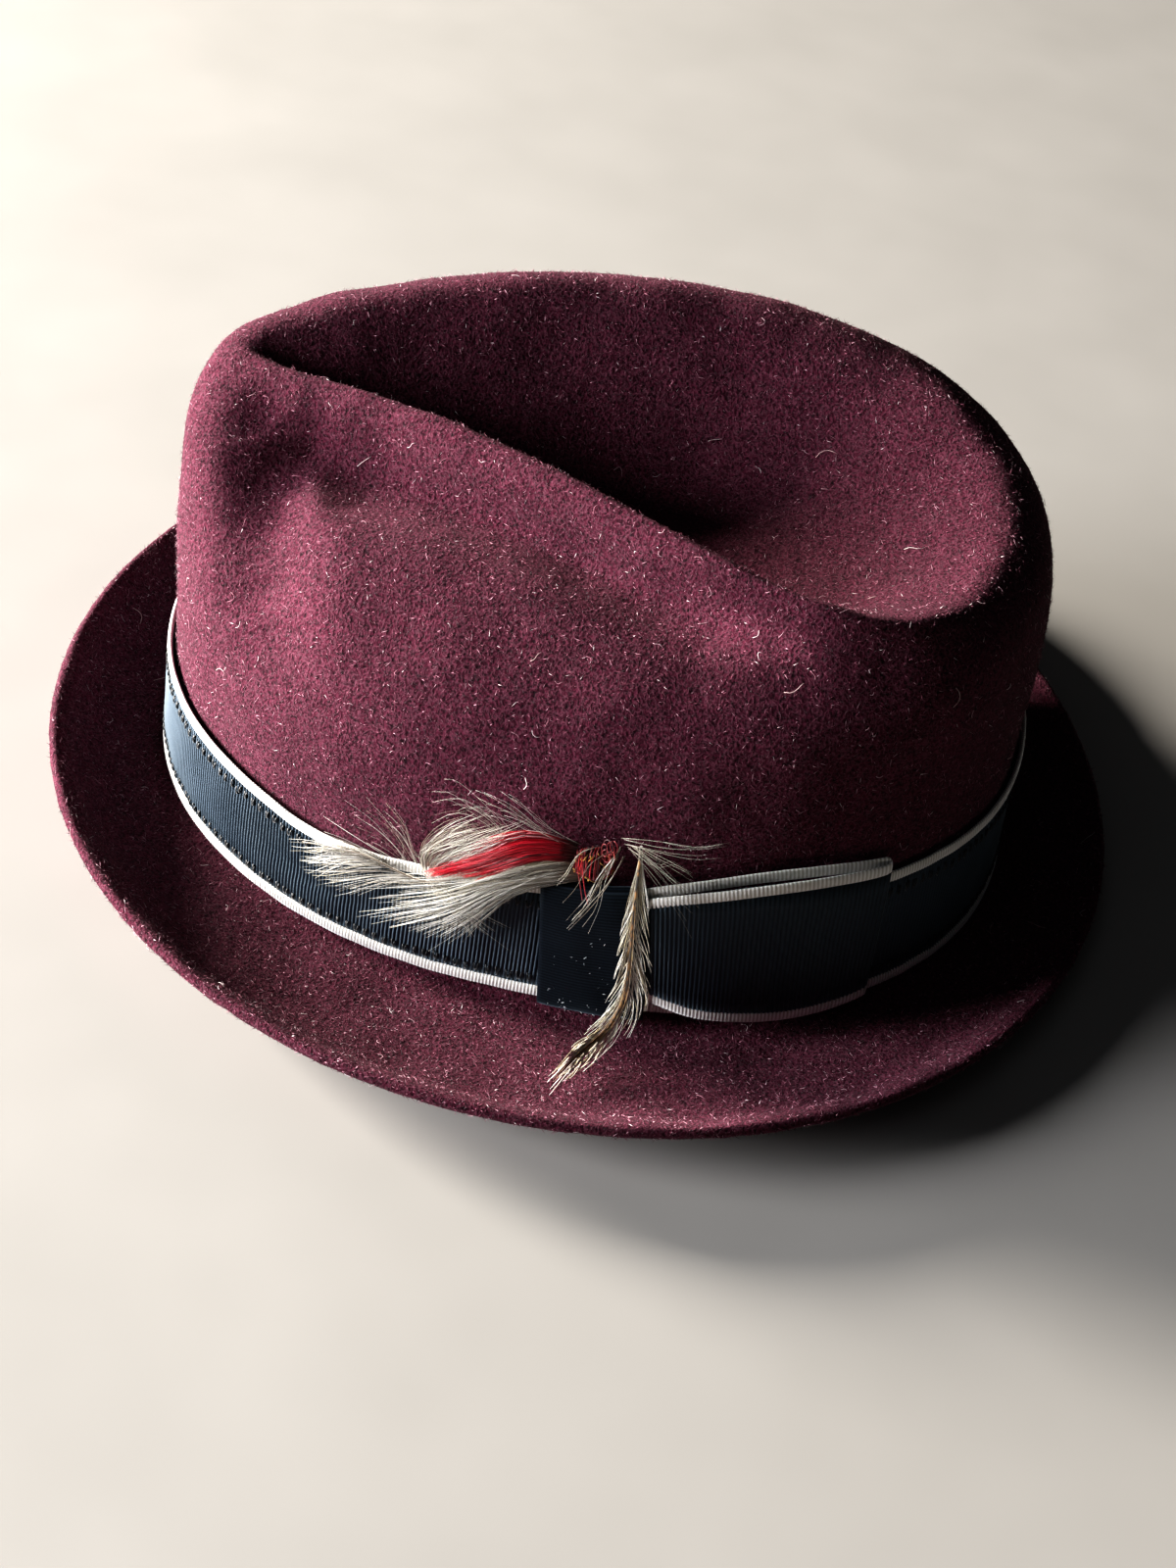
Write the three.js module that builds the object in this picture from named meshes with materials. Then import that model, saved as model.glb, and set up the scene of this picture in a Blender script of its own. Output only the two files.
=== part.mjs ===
// A wool felt fedora: one pressed felt body (crown and brim are a single piece of felt), a ribbon
// band with a pale edging above and below, a flat one-sided bow, its knot, and a bunch of feathers.
// Millimetres, +Z up. The front of the hat faces -Y and the bow is on the wearer's left, at +X.
// The origin is under the middle of the brim, on the surface that the hat rests on.

import * as THREE from "three";

// ---- driving dimensions -------------------------------------------------------------------------

const feltThickness = 2.2;
const ringSegments = 56; // facets around the hat
const hollowFlank = 1.8; // how a pinched left side fills out again towards the back
const fullFlank = 0.6; // the right side fills out sooner

const bandGap = 0.35; // air between the felt and the ribbon
const ribbonThickness = 0.9;
const edgingThickness = 1.1;
const edgingShare = 0.09; // share of the band's height that each edging takes
const edgingGap = 0.012; // share of the band's height left between edging and ribbon

const knotInner = 1.75; // how far the knot's faces stand off the felt
const knotOuter = 4.9;
const knotCorners = {
  // y of the front and back edge, and the height there
  foot: { front: 8.2, back: 31.6, zFront: 4.9, zBack: 4.7 },
  head: { front: 5.4, back: 28.2, zFront: 41.2, zBack: 43.4 },
};
const bowGap = 0.45; // between the bow's front end and the knot
const bowEnd = 77.0;
const bowThickness = 0.7;
const bowBack = 2.2; // stand-off of the bow's back layer
const bowPinch = 3.5; // stand-off of the front layer where the knot holds it
const bowPuff = 1.8; // extra stand-off in the middle of the bow

// Heights of the band's lower and upper edge at angles around the hat, in degrees from the front:
// the wearer's left is at 90 and the right at -90.
const bandEdges = [
  // angle lower upper
  [-180,   5.6,  42],
  [-135,   5,    40.5],
  [-90,    4.5,  38],
  [-45,    4.2,  35.2],
  [0,      4,    34],
  [38,     4,    33.9],
  [52,     4,    33.1],
  [66,     4,    31.4],
  [79,     4.2,  34.6],
  [92,     4.8,  39],
  [112,    4.9,  41],
  [138,    5,    42.4],
  [180,    5.6,  42],
];

// Heights of the bow's lower and upper edge along its length.
const bowEdges = [
  // y    lower upper
  [24,    12,   40],
  [32,    11,   43],
  [41,    8,    45.6],
  [52,    6.6,  47.8],
  [64,    6,    48.2],
  [79,    6.4,  46.4],
];

// Each section is one closed ring of the felt. front, back, left and right are its reach from the
// middle. tipLeft and tipRight are the share of the width that is kept at the very front, where
// the crown is pinched. square is the ring's exponent: 2 is an oval. steps is the number of rings
// up to the next section.
const feltSections = [
  // name          front  back   left   right  tipLeft tipRight square zFront zLeft  zBack  zRight steps
  ["mouth",        103.8, 103.3, 83.8,  83.8,  1,      1,       2.15,  0,     0,     0,     0,     1],
  ["rest",         109.5, 109.5, 90,    90,    1,      1,       2.1,   0,     0,     0,     0,     1],
  ["underFlare",   121,   121,   112,   112,   1,      1,       2.05,  2.1,   3.3,   1.4,   3.3,   1],
  ["underRise",    128.6, 128.6, 126.6, 126.6, 1,      1,       2,     6.4,   7.8,   3.3,   7.8,   1],
  ["underRoll",    131.6, 131.6, 131,   131,   1,      1,       2,     10.2,  11.7,  5.4,   11.7,  1],
  ["edgeUnder",    132.9, 132.9, 132.9, 132.9, 1,      1,       2,     11.8,  13.3,  6.6,   13.3,  1],
  ["edge",         133.5, 133.5, 133.5, 133.5, 1,      1,       2,     13.2,  14.7,  7.9,   14.7,  1],
  ["edgeTop",      132.4, 132.4, 132.4, 132.4, 1,      1,       2,     14.2,  15.7,  8.9,   15.7,  1],
  ["roll",         129.6, 129.6, 129,   129,   1,      1,       2,     12.6,  14,    7.7,   14,    1],
  ["rise",         126.4, 126.4, 124.4, 124.4, 1,      1,       2,     8.6,   10,    5.5,   10,    1],
  ["flare",        120,   120,   111,   111,   1,      1,       2.05,  4.3,   5.5,   3.6,   5.5,   2],
  ["break",        109,   109,   88.8,  88.8,  1,      1,       2.1,   2.3,   2.3,   2.3,   2.3,   1],
  ["bandFoot",     105.2, 105.3, 86,    86,    1,      1,       2.15,  3.8,   4.4,   5.4,   4.4,   1],
  ["bandMiddle",   104.3, 104.4, 85.2,  85.2,  1,      1,       2.15,  19,    21,    23.5,  21,    1],
  ["bandHead",     103.8, 103.4, 84.6,  84.6,  1,      1,       2.15,  34,    38,    42,    38,    1],
  ["low",          104.2, 102.8, 84.5,  84.5,  1,      1,       2.1,   51,    52,    54,    53,    2],
  ["middle",       105,   102.5, 84,    84,    0.92,   0.94,    2.1,   70,    68,    71,    73,    2],
  ["bulge",        104.5, 101,   86.5,  83.6,  0.74,   0.76,    2.1,   87,    81,    84,    91,    2],
  ["shoulder",     102,   98.5,  85.5,  83.5,  0.5,    0.46,    2.1,   96.5,  90.5,  92,    102.5, 2],
  ["top",          98,    94,    84,    77.5,  0.3,    0.34,    2.1,   101.5, 99,    96,    109.5, 2],
  ["ridge",        92,    87,    84,    67.5,  0.16,   0.24,    2.1,   103,   106.5, 98,    113,   2],
  ["inside",       85,    79,    75,    56.5,  0.11,   0.17,    2.1,   99.5,  101.5, 96,    108.5, 2],
  ["wall",         68,    63,    59,    41,    0.1,    0.12,    2.1,   88,    87,    90.5,  94,    2],
  ["floor",        50,    44,    36,    26,    0.1,    0.1,     2.1,   77,    76,    85,    80,    1],
  ["pit",          30,    24,    15,    12,    0.1,    0.1,     2.1,   73,    72.5,  80,    74,    1],
];

// The valley pushed into the left side of the crown: one fold runs under the ridge and the other
// branches from it down the front. Both are pushed in the same direction.
const creaseDirection = new THREE.Vector3(-0.75, 0.2, -0.63).normalize();
const creases = {
  underRidge: [
    // x   y    z     depth reach
    [22,   -82, 98,   5,    9],
    [28,   -72, 97,   11,   11],
    [32,   -58, 97,   12.5, 10.5],
    [35,   -44, 98,   12,   9],
    [39.5, -26, 98,   11,   7.5],
    [45,   -7,  97.5, 10,   7],
    [51,   10,  96.5, 8.5,  7],
    [54.5, 27,  95.5, 6,    7],
    [55,   40,  95,   2,    7],
    [56,   50,  95,   0,    8],
  ],
  frontPinch: [
    // x   y    z     depth reach
    [28,   -72, 97,   11,   11],
    [34,   -76, 90,   9.5,  12.5],
    [42,   -75, 84,   9,    13],
    [50,   -71, 78,   7,    13],
    [58,   -67, 71,   4,    12],
    [64,   -65, 62,   0,    10],
  ],
};

// Stations along each feather: y and z on the left side of the crown, how far it stands off the
// felt, and its width and thickness there.
const plumeStations = [
  // y     z     off   width thick
  [11.5,  47.5,  3.2,  3,    1.6],
  [3,     46.6,  3.3,  9,    2.4],
  [-8,    40.5,  3.4,  22,   2.8],
  [-18,   36,    3.4,  26,   2.8],
  [-28,   32,    3.3,  22,   2.6],
  [-38,   32,    3.1,  13,   2.2],
  [-46.5, 35,    2.9,  3,    1.4],
];
const redStations = [
  // y     z     off   width thick
  [11.5,  52.5,  6.2,  3,    1.4],
  [4,     52.5,  6.3,  8,    2],
  [-5,    48.5,  6.4,  9.5,  2],
  [-12,   42.5,  6.3,  7,    1.8],
  [-18,   37.5,  6.1,  2,    1.2],
];
// The hanging feather leaves the crown and comes down on the brim, so its stations are x, y, z.
const dropStations = [
  // x     y     z     width thick
  [87.6,  25.6,  57.5, 3,    1.4],
  [89.4,  26,    50,   5,    1.6],
  [92.2,  26.6,  41,   6.5,  1.8],
  [93,    27.8,  28,   7.5,  1.8],
  [93.8,  28.2,  17,   7.5,  1.8],
  [97.5,  25.4,  10.5, 7,    1.7],
  [104.5, 21.4,  8.6,  5,    1.5],
  [111.5, 18.8,  9,    2,    1.2],
];
const dropOutward = new THREE.Vector3(1, 0, 0.4).normalize();
const bindingCentre = { y: 16.9, z: 49.4, off: 3.4 };
const bindingRadii = { along: 4.6, up: 4.4, out: 2.6 };

// ---- the felt surface ---------------------------------------------------------------------------

const column = {
  front: 1, back: 2, left: 3, right: 4, tipLeft: 5, tipRight: 6, square: 7,
  zFront: 8, zLeft: 9, zBack: 10, zRight: 11, steps: 12,
};

function signedPower(value, power) {
  return Math.sign(value) * Math.abs(value) ** power;
}

// The point of one section at an angle: 0 is the front, a quarter turn is the wearer's left.
function ringPoint(section, angle) {
  const value = (name) => section[column[name]];
  const exponent = 2 / value("square");
  const along = signedPower(Math.cos(angle), exponent);
  const across = signedPower(Math.sin(angle), exponent);
  const isLeft = across >= 0;
  const reach = (value("front") + value("back")) / 2;
  const shift = (value("back") - value("front")) / 2;
  const fromFront = (1 - along) / 2;
  const tip = isLeft ? value("tipLeft") : value("tipRight");
  const kept = tip + (1 - tip) * fromFront ** (isLeft ? hollowFlank : fullFlank);
  const half = (isLeft ? value("left") : value("right")) * kept;
  const zSide = (value("zLeft") + value("zRight")) / 2;
  const slope = (value("zFront") - value("zBack")) / 2;
  const sag = (value("zFront") + value("zBack")) / 2 - zSide;
  const lean = (value("zLeft") - value("zRight")) / 2;
  const c = Math.cos(angle);
  const z = zSide + slope * c + sag * c * c + lean * Math.sin(angle);
  return new THREE.Vector3(half * across, shift - reach * along, z);
}

// The place of each section along the felt, spaced by the square root of the distance between
// sections, so that the curve through them has no loops.
function sectionPlaces() {
  const probes = 24;
  const places = [0];
  for (let i = 1; i < feltSections.length; i += 1) {
    let total = 0;
    for (let k = 0; k < probes; k += 1) {
      const angle = (2 * Math.PI * k) / probes;
      total += ringPoint(feltSections[i], angle).distanceTo(ringPoint(feltSections[i - 1], angle));
    }
    places.push(places[i - 1] + Math.sqrt(total / probes));
  }
  return places;
}

const places = sectionPlaces();
const sectionIndex = Object.fromEntries(feltSections.map((section, index) => [section[0], index]));
const placeOf = (name) => places[sectionIndex[name]];

// A smooth curve through the sections at one angle. It runs straight over the flat rest under the
// brim, and up the wall under the band, so that the ribbon lies flat on the felt.
function uncreasedPoint(place, angle) {
  const last = feltSections.length - 1;
  let i = 0;
  while (i < last - 1 && place > places[i + 1]) {
    i += 1;
  }
  const p1 = ringPoint(feltSections[i], angle);
  const p2 = ringPoint(feltSections[i + 1], angle);
  const t1 = places[i];
  const t2 = places[i + 1];
  const share = (place - t1) / (t2 - t1);
  const isRest = i < sectionIndex.underFlare;
  const isUnderBand = i >= sectionIndex.bandFoot && i < sectionIndex.bandHead;
  if (isRest || isUnderBand) {
    return p1.lerp(p2, share);
  }
  const before = ringPoint(feltSections[i - 1], angle);
  const isLast = i + 2 > last;
  const after = isLast ? p2.clone().multiplyScalar(2).sub(p1) : ringPoint(feltSections[i + 2], angle);
  const t0 = places[i - 1];
  const t3 = isLast ? 2 * t2 - t1 : places[i + 2];
  const mix = (a, b, from, to) => a.clone().lerp(b, (place - from) / (to - from));
  const a1 = mix(before, p1, t0, t1);
  const a2 = mix(p1, p2, t1, t2);
  const a3 = mix(p2, after, t2, t3);
  return mix(mix(a1, a2, t0, t2), mix(a2, a3, t1, t3), t1, t2);
}

// How deep a fold is at a point: deepest on the line through its stations, then fading out.
function creaseDepth(point, stations) {
  let deepest = 0;
  for (let i = 1; i < stations.length; i += 1) {
    const [x, y, z, startDepth, startReach] = stations[i - 1];
    const start = new THREE.Vector3(x, y, z);
    const line = new THREE.Vector3(...stations[i].slice(0, 3)).sub(start);
    const offset = point.clone().sub(start);
    const share = Math.min(Math.max(offset.dot(line) / line.lengthSq(), 0), 1);
    const gap = offset.addScaledVector(line, -share).length();
    const depth = startDepth + (stations[i][3] - startDepth) * share;
    const reach = startReach + (stations[i][4] - startReach) * share;
    deepest = Math.max(deepest, depth * Math.exp(-((gap / reach) ** 2)));
  }
  return deepest;
}

function feltPoint(place, angle) {
  const point = uncreasedPoint(place, angle);
  const depths = Object.values(creases).map((stations) => creaseDepth(point, stations));
  return point.addScaledVector(creaseDirection, Math.max(...depths));
}

// The direction that points out of the felt's upper face.
function feltNormal(place, angle) {
  const dPlace = 0.02;
  const dAngle = 0.02;
  const up = feltPoint(place + dPlace, angle).sub(feltPoint(place - dPlace, angle));
  const around = feltPoint(place, angle + dAngle).sub(feltPoint(place, angle - dAngle));
  return around.cross(up).normalize();
}

function offFelt(place, angle, distance) {
  return feltPoint(place, angle).addScaledVector(feltNormal(place, angle), distance);
}

const ringAngles = Array.from({ length: ringSegments }, (_, k) => (2 * Math.PI * k) / ringSegments);

// ---- closed meshes from rings of points ---------------------------------------------------------

function meshOf(name, points, triangles, look) {
  const geometry = new THREE.BufferGeometry();
  geometry.setAttribute("position", new THREE.Float32BufferAttribute(points.flatMap((p) => p.toArray()), 3));
  geometry.setIndex(triangles);
  geometry.computeVertexNormals();
  const mesh = new THREE.Mesh(geometry, new THREE.MeshStandardMaterial(look));
  mesh.name = name;
  return mesh;
}

// Triangles between consecutive rings that all have the same number of points.
function bridgeRings(ringCount, size, isClosed) {
  const triangles = [];
  const last = isClosed ? ringCount : ringCount - 1;
  for (let i = 0; i < last; i += 1) {
    const next = (i + 1) % ringCount;
    for (let k = 0; k < size; k += 1) {
      const a = i * size + k;
      const b = i * size + ((k + 1) % size);
      const c = next * size + ((k + 1) % size);
      const d = next * size + k;
      triangles.push(a, b, c, a, c, d);
    }
  }
  return triangles;
}

// A body lofted through rings in order, closed by a fan at each end.
function loftCapped(name, rings, look) {
  const size = rings[0].length;
  const points = rings.flat();
  const triangles = bridgeRings(rings.length, size, false);
  const middle = (ring) => ring.reduce((sum, p) => sum.add(p), new THREE.Vector3()).divideScalar(size);
  const start = points.push(middle(rings[0])) - 1;
  const end = points.push(middle(rings[rings.length - 1])) - 1;
  const lastRing = (rings.length - 1) * size;
  for (let k = 0; k < size; k += 1) {
    const next = (k + 1) % size;
    triangles.push(start, next, k);
    triangles.push(end, lastRing + k, lastRing + next);
  }
  return meshOf(name, points, triangles, look);
}

// A body whose sections close on themselves: a loop of rings.
function loftLoop(name, rings, look) {
  return meshOf(name, rings.flat(), bridgeRings(rings.length, rings[0].length, true), look);
}

// ---- felt body ----------------------------------------------------------------------------------

function feltBody(look) {
  const outer = [];
  for (let i = 0; i < feltSections.length; i += 1) {
    const isLast = i === feltSections.length - 1;
    const steps = isLast ? 1 : feltSections[i][column.steps];
    for (let k = 0; k < steps; k += 1) {
      const place = isLast ? places[i] : places[i] + ((places[i + 1] - places[i]) * k) / steps;
      outer.push({ place, ring: ringAngles.map((angle) => feltPoint(place, angle)) });
    }
  }
  const lining = outer.filter((row) => row.place >= placeOf("bandFoot"));
  const inner = lining.map((row) => ringAngles.map((angle) => offFelt(row.place, angle, -feltThickness)));
  return loftCapped("felt_body", [...inner.reverse(), ...outer.map((row) => row.ring)], look);
}

// ---- the band -----------------------------------------------------------------------------------

// A smooth curve through one column of a table whose first column is the position.
function columnCurve(table, index) {
  const positions = table.map((row) => row[0]);
  const values = table.map((row) => row[index]);
  const interpolant = new THREE.CubicInterpolant(positions, values, 1, [0]);
  return (position) => interpolant.evaluate(position)[0];
}

const bandFootHeight = columnCurve(bandEdges, 1);
const bandHeadHeight = columnCurve(bandEdges, 2);

// The place on the felt where it has a height, at an angle, on the lower half of the crown.
function placeAtHeight(angle, height) {
  let low = placeOf("bandFoot");
  let high = placeOf("middle");
  for (let i = 0; i < 30; i += 1) {
    const place = (low + high) / 2;
    if (feltPoint(place, angle).z < height) {
      low = place;
    } else {
      high = place;
    }
  }
  return low;
}

function offAtHeight(angle, height, distance) {
  return offFelt(placeAtHeight(angle, height), angle, distance);
}

// A point over the band: share 0 is the band's lower edge and 1 is its upper edge.
function overBand(angle, share, distance) {
  const degrees = THREE.MathUtils.radToDeg(angle);
  const turn = degrees > 180 ? degrees - 360 : degrees;
  const height = THREE.MathUtils.lerp(bandFootHeight(turn), bandHeadHeight(turn), share);
  return offAtHeight(angle, height, distance);
}

// A ribbon all round the crown between two shares of the band's height.
function bandLoop(name, from, to, thickness, look) {
  const inner = bandGap;
  const outer = bandGap + thickness;
  const half = (from + to) / 2;
  const corners = [[from, inner], [from, outer], [half, outer], [to, outer], [to, inner], [half, inner]];
  const ringAt = ([share, off]) => ringAngles.map((angle) => overBand(angle, share, off));
  return loftLoop(name, corners.map(ringAt), look);
}

// ---- the bow and its knot -----------------------------------------------------------------------

// The angle at which the band's middle lies at a distance y back from the middle of the hat.
function angleAt(y) {
  let low = 0;
  let high = Math.PI;
  for (let i = 0; i < 30; i += 1) {
    const angle = (low + high) / 2;
    if (feltPoint(placeOf("bandMiddle"), angle).y < y) {
      low = angle;
    } else {
      high = angle;
    }
  }
  return (low + high) / 2;
}

// The y and height of the knot: along runs from its front edge to its back edge, and up from its
// foot to its head. The knot leans a little to the front.
function knotPlace(along, up) {
  const { lerp } = THREE.MathUtils;
  const { foot, head } = knotCorners;
  const y = lerp(lerp(foot.front, foot.back, along), lerp(head.front, head.back, along), up);
  const z = lerp(lerp(foot.zFront, foot.zBack, along), lerp(head.zFront, head.zBack, along), up);
  return { y, z };
}

const bowFootHeight = columnCurve(bowEdges, 1);
const bowHeadHeight = columnCurve(bowEdges, 2);

// The route of the bow's ribbon: back along the band, round a tight fold, and forward again
// further out. Each stop is a share of the bow's length and a stand-off from the felt.
function bowRoute() {
  const stops = 9;
  const foldStops = 4;
  const foldLength = 0.02; // of the bow's length
  const foldRadius = (bowPinch - bowBack) / 2;
  const frontOff = (share) => bowPinch + bowPuff * Math.sin(Math.PI * share) ** 0.8;
  const route = [];
  for (let i = 0; i <= stops; i += 1) {
    route.push({ along: i / stops, off: bowBack });
  }
  for (let i = 1; i < foldStops; i += 1) {
    const turn = -Math.PI / 2 + (Math.PI * i) / foldStops;
    route.push({ along: 1 + foldLength * Math.cos(turn), off: bowBack + foldRadius * (1 + Math.sin(turn)) });
  }
  for (let i = stops; i >= 0; i -= 1) {
    route.push({ along: i / stops, off: frontOff(i / stops) });
  }
  return route;
}

// A strip of the bow between two shares of its height, swept along the route.
function bowStrip(name, from, to, thickness, look) {
  const route = bowRoute();
  const yAt = (along, share) => THREE.MathUtils.lerp(knotPlace(1, share).y + bowGap, bowEnd, along);
  const rings = route.map((stop, i) => {
    const before = route[Math.max(i - 1, 0)];
    const after = route[Math.min(i + 1, route.length - 1)];
    const corner = (share, side) => {
      const y = yAt(stop.along, share);
      const dy = yAt(after.along, share) - yAt(before.along, share);
      const dOff = after.off - before.off;
      const shift = ((side / Math.hypot(dy, dOff)) * thickness) / 2;
      const height = THREE.MathUtils.lerp(bowFootHeight(y), bowHeadHeight(y), share);
      return offAtHeight(angleAt(y - shift * dOff), height, stop.off + shift * dy);
    };
    return [corner(from, 1), corner(from, -1), corner(to, -1), corner(to, 1)];
  });
  return loftCapped(name, rings, look);
}

function bowKnot(look) {
  const columns = 5;
  const outline = [
    // share of the knot's height, stand-off
    [0.5, knotInner], [0.98, knotInner], [1, knotInner + 1], [0.94, knotOuter - 0.4], [0.76, knotOuter],
    [0.5, knotOuter - 0.2], [0.2, knotOuter], [0.05, knotOuter - 0.3], [0, knotInner + 1.2], [0.02, knotInner],
  ];
  const rings = [];
  for (let i = 0; i <= columns; i += 1) {
    const pointAt = ([up, off]) => {
      const { y, z } = knotPlace(i / columns, up);
      return offAtHeight(angleAt(y), z, off);
    };
    rings.push(outline.map(pointAt));
  }
  return loftCapped("bow_knot", rings, look);
}

// ---- feathers -----------------------------------------------------------------------------------

// A flat, leaf-shaped solid of a feather's outer form, along stations of centre, width, thickness.
function featherForm(name, stations, look) {
  const sides = 8;
  const rings = stations.map(({ centre, outward, width, thickness }, i) => {
    const before = stations[Math.max(i - 1, 0)].centre;
    const after = stations[Math.min(i + 1, stations.length - 1)].centre;
    const tangent = after.clone().sub(before).normalize();
    const across = tangent.clone().cross(outward).normalize();
    const out = tangent.clone().cross(across).normalize();
    return Array.from({ length: sides }, (_, k) => {
      const turn = (2 * Math.PI * k) / sides;
      return centre.clone()
        .addScaledVector(across, (Math.cos(turn) * width) / 2)
        .addScaledVector(out, (Math.sin(turn) * thickness) / 2);
    });
  });
  return loftCapped(name, rings, look);
}

function onCrown([y, z, off, width, thickness]) {
  const angle = angleAt(y);
  const place = placeAtHeight(angle, z);
  return { centre: offFelt(place, angle, off), outward: feltNormal(place, angle), width, thickness };
}

function inSpace([x, y, z, width, thickness]) {
  return { centre: new THREE.Vector3(x, y, z), outward: dropOutward, width, thickness };
}

function featherBinding(look) {
  const geometry = new THREE.SphereGeometry(1, 12, 8);
  const mesh = new THREE.Mesh(geometry, new THREE.MeshStandardMaterial(look));
  mesh.name = "feather_binding";
  mesh.scale.set(bindingRadii.out, bindingRadii.along, bindingRadii.up);
  mesh.position.copy(offAtHeight(angleAt(bindingCentre.y), bindingCentre.z, bindingCentre.off));
  return mesh;
}

// ---- looks and assembly -------------------------------------------------------------------------

const wineFelt = { color: 0x5c2238, roughness: 0.95, metalness: 0 };
const navyRibbon = { color: 0x1a222b, roughness: 0.7, metalness: 0 };
const creamEdging = { color: 0xd9d3c8, roughness: 0.75, metalness: 0 };
const creamFeather = { color: 0xcfc3ad, roughness: 0.6, metalness: 0 };
const redFeather = { color: 0xa11826, roughness: 0.6, metalness: 0 };
const redThread = { color: 0x6e1018, roughness: 0.6, metalness: 0 };

const ribbonFrom = edgingShare + edgingGap;
const ribbonTo = 1 - edgingShare - edgingGap;
const hat = new THREE.Group();
hat.add(feltBody(wineFelt));
hat.add(bandLoop("band_ribbon", ribbonFrom, ribbonTo, ribbonThickness, navyRibbon));
hat.add(bandLoop("band_edging_bottom", 0, edgingShare, edgingThickness, creamEdging));
hat.add(bandLoop("band_edging_top", 1 - edgingShare, 1, edgingThickness, creamEdging));
hat.add(bowStrip("bow_loop", ribbonFrom, ribbonTo, bowThickness, navyRibbon));
hat.add(bowStrip("bow_edging_bottom", 0, edgingShare, bowThickness, creamEdging));
hat.add(bowStrip("bow_edging_top", 1 - edgingShare, 1, bowThickness, creamEdging));
hat.add(bowKnot(navyRibbon));
hat.add(featherForm("feather_plume", plumeStations.map(onCrown), creamFeather));
hat.add(featherForm("feather_red", redStations.map(onCrown), redFeather));
hat.add(featherForm("feather_drop", dropStations.map(inSpace), creamFeather));
hat.add(featherBinding(redThread));

export default hat;
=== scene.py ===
# Wool felt fedora with a ribbon band, a flat side bow and a bunch of feathers.
# Each CAD piece gets a finer mesh of the same shape, with its nap, ribs, threads and barbs. Lengths in the
# dictionaries are millimetres. The front of the hat faces -Y, and the bow is on the wearer's left, at +X.
import math

import bpy
import numpy as np
from mathutils import Matrix, Vector


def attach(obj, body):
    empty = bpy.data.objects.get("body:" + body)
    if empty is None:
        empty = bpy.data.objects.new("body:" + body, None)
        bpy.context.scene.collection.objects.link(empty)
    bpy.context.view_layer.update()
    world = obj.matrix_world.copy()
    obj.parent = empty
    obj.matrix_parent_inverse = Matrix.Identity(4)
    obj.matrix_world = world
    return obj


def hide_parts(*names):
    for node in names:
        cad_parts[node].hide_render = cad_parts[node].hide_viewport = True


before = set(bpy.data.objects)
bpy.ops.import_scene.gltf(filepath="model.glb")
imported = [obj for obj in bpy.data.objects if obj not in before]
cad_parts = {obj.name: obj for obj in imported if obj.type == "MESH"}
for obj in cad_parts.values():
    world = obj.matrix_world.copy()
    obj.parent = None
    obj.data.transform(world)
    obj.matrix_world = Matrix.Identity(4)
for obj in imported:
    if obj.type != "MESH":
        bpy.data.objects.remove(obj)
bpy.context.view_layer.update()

mm = 0.001
dice = np.random.default_rng(58)


def evenTurns(count):    # angles at equal steps round a circle
    return 2 * math.pi * np.arange(count) / count


def toLinear(code):
    channels = [int(code[i:i + 2], 16) / 255 for i in (1, 3, 5)]
    return tuple(c / 12.92 if c <= 0.04045 else ((c + 0.055) / 1.055) ** 2.4 for c in channels) + (1.0,)


def addNode(tree, kind, inputs=None, **settings):
    made = tree.nodes.new("ShaderNode" + kind)
    for name, value in settings.items():
        setattr(made, name, value)
    for name, value in (inputs or {}).items():
        if isinstance(value, bpy.types.NodeSocket):
            tree.links.new(value, made.inputs[name])
        else:
            made.inputs[name].default_value = value
    return made


def startMaterial(name, **fixed):
    material = bpy.data.materials.new(name)
    material.use_nodes = True
    shader = material.node_tree.nodes["Principled BSDF"]
    for socket, value in fixed.items():
        shader.inputs[socket.replace("_", " ")].default_value = value
    return material, material.node_tree, shader


def layOver(tree, color, value, low, high, most, code):
    # Lays a colour over another: none of it where value is low, and up to the share most where it is high.
    inputs = {"Value": value, "From Min": low, "From Max": high, "To Max": most}
    share = addNode(tree, "MapRange", inputs).outputs[0]
    return addNode(tree, "Mix", {0: share, 6: color, 7: toLinear(code)}, data_type="RGBA").outputs[2]


def signedVolume(points, faces):    # six times the volume, negative where the faces look inward
    total = 0
    for block in faces:
        corners = np.asarray(points)[np.asarray(block)]
        for k in range(1, corners.shape[1] - 1):
            total += np.sum(corners[:, 0] * np.cross(corners[:, k], corners[:, k + 1]))
    return total


def makePiece(name, points, faces, material, node=None, tint=None):
    mesh = bpy.data.meshes.new(name)
    cells = [cell for block in faces for cell in np.asarray(block).tolist()]
    mesh.from_pydata(np.asarray(points).tolist(), [], cells)
    if signedVolume(points, faces) < 0:
        mesh.flip_normals()
    mesh.materials.append(material)
    mesh.shade_smooth()
    if tint is not None:
        layer = mesh.color_attributes.new("tint", "FLOAT_COLOR", "POINT")
        layer.data.foreach_set("color", np.asarray(tint, np.float32).ravel())
    piece = bpy.data.objects.new(name, mesh)
    bpy.context.scene.collection.objects.link(piece)
    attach(piece, "root")
    if node:
        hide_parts(node)
    print(f"{name}: {len(mesh.vertices)} points, {len(mesh.polygons)} faces")
    return piece


def unit(vectors):
    return vectors / np.maximum(np.linalg.norm(vectors, axis=-1, keepdims=True), 1e-12)


def gridFaces(rows, columns, closedRows=False, closedColumns=False, start=0):
    i = np.arange(rows if closedRows else rows - 1)[:, None]
    j = np.arange(columns if closedColumns else columns - 1)
    below, beside = (i + 1) % rows, (j + 1) % columns
    corners = [i * columns + j, i * columns + beside, below * columns + beside, below * columns + j]
    return np.stack(corners, -1).reshape(-1, 4) + start


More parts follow.
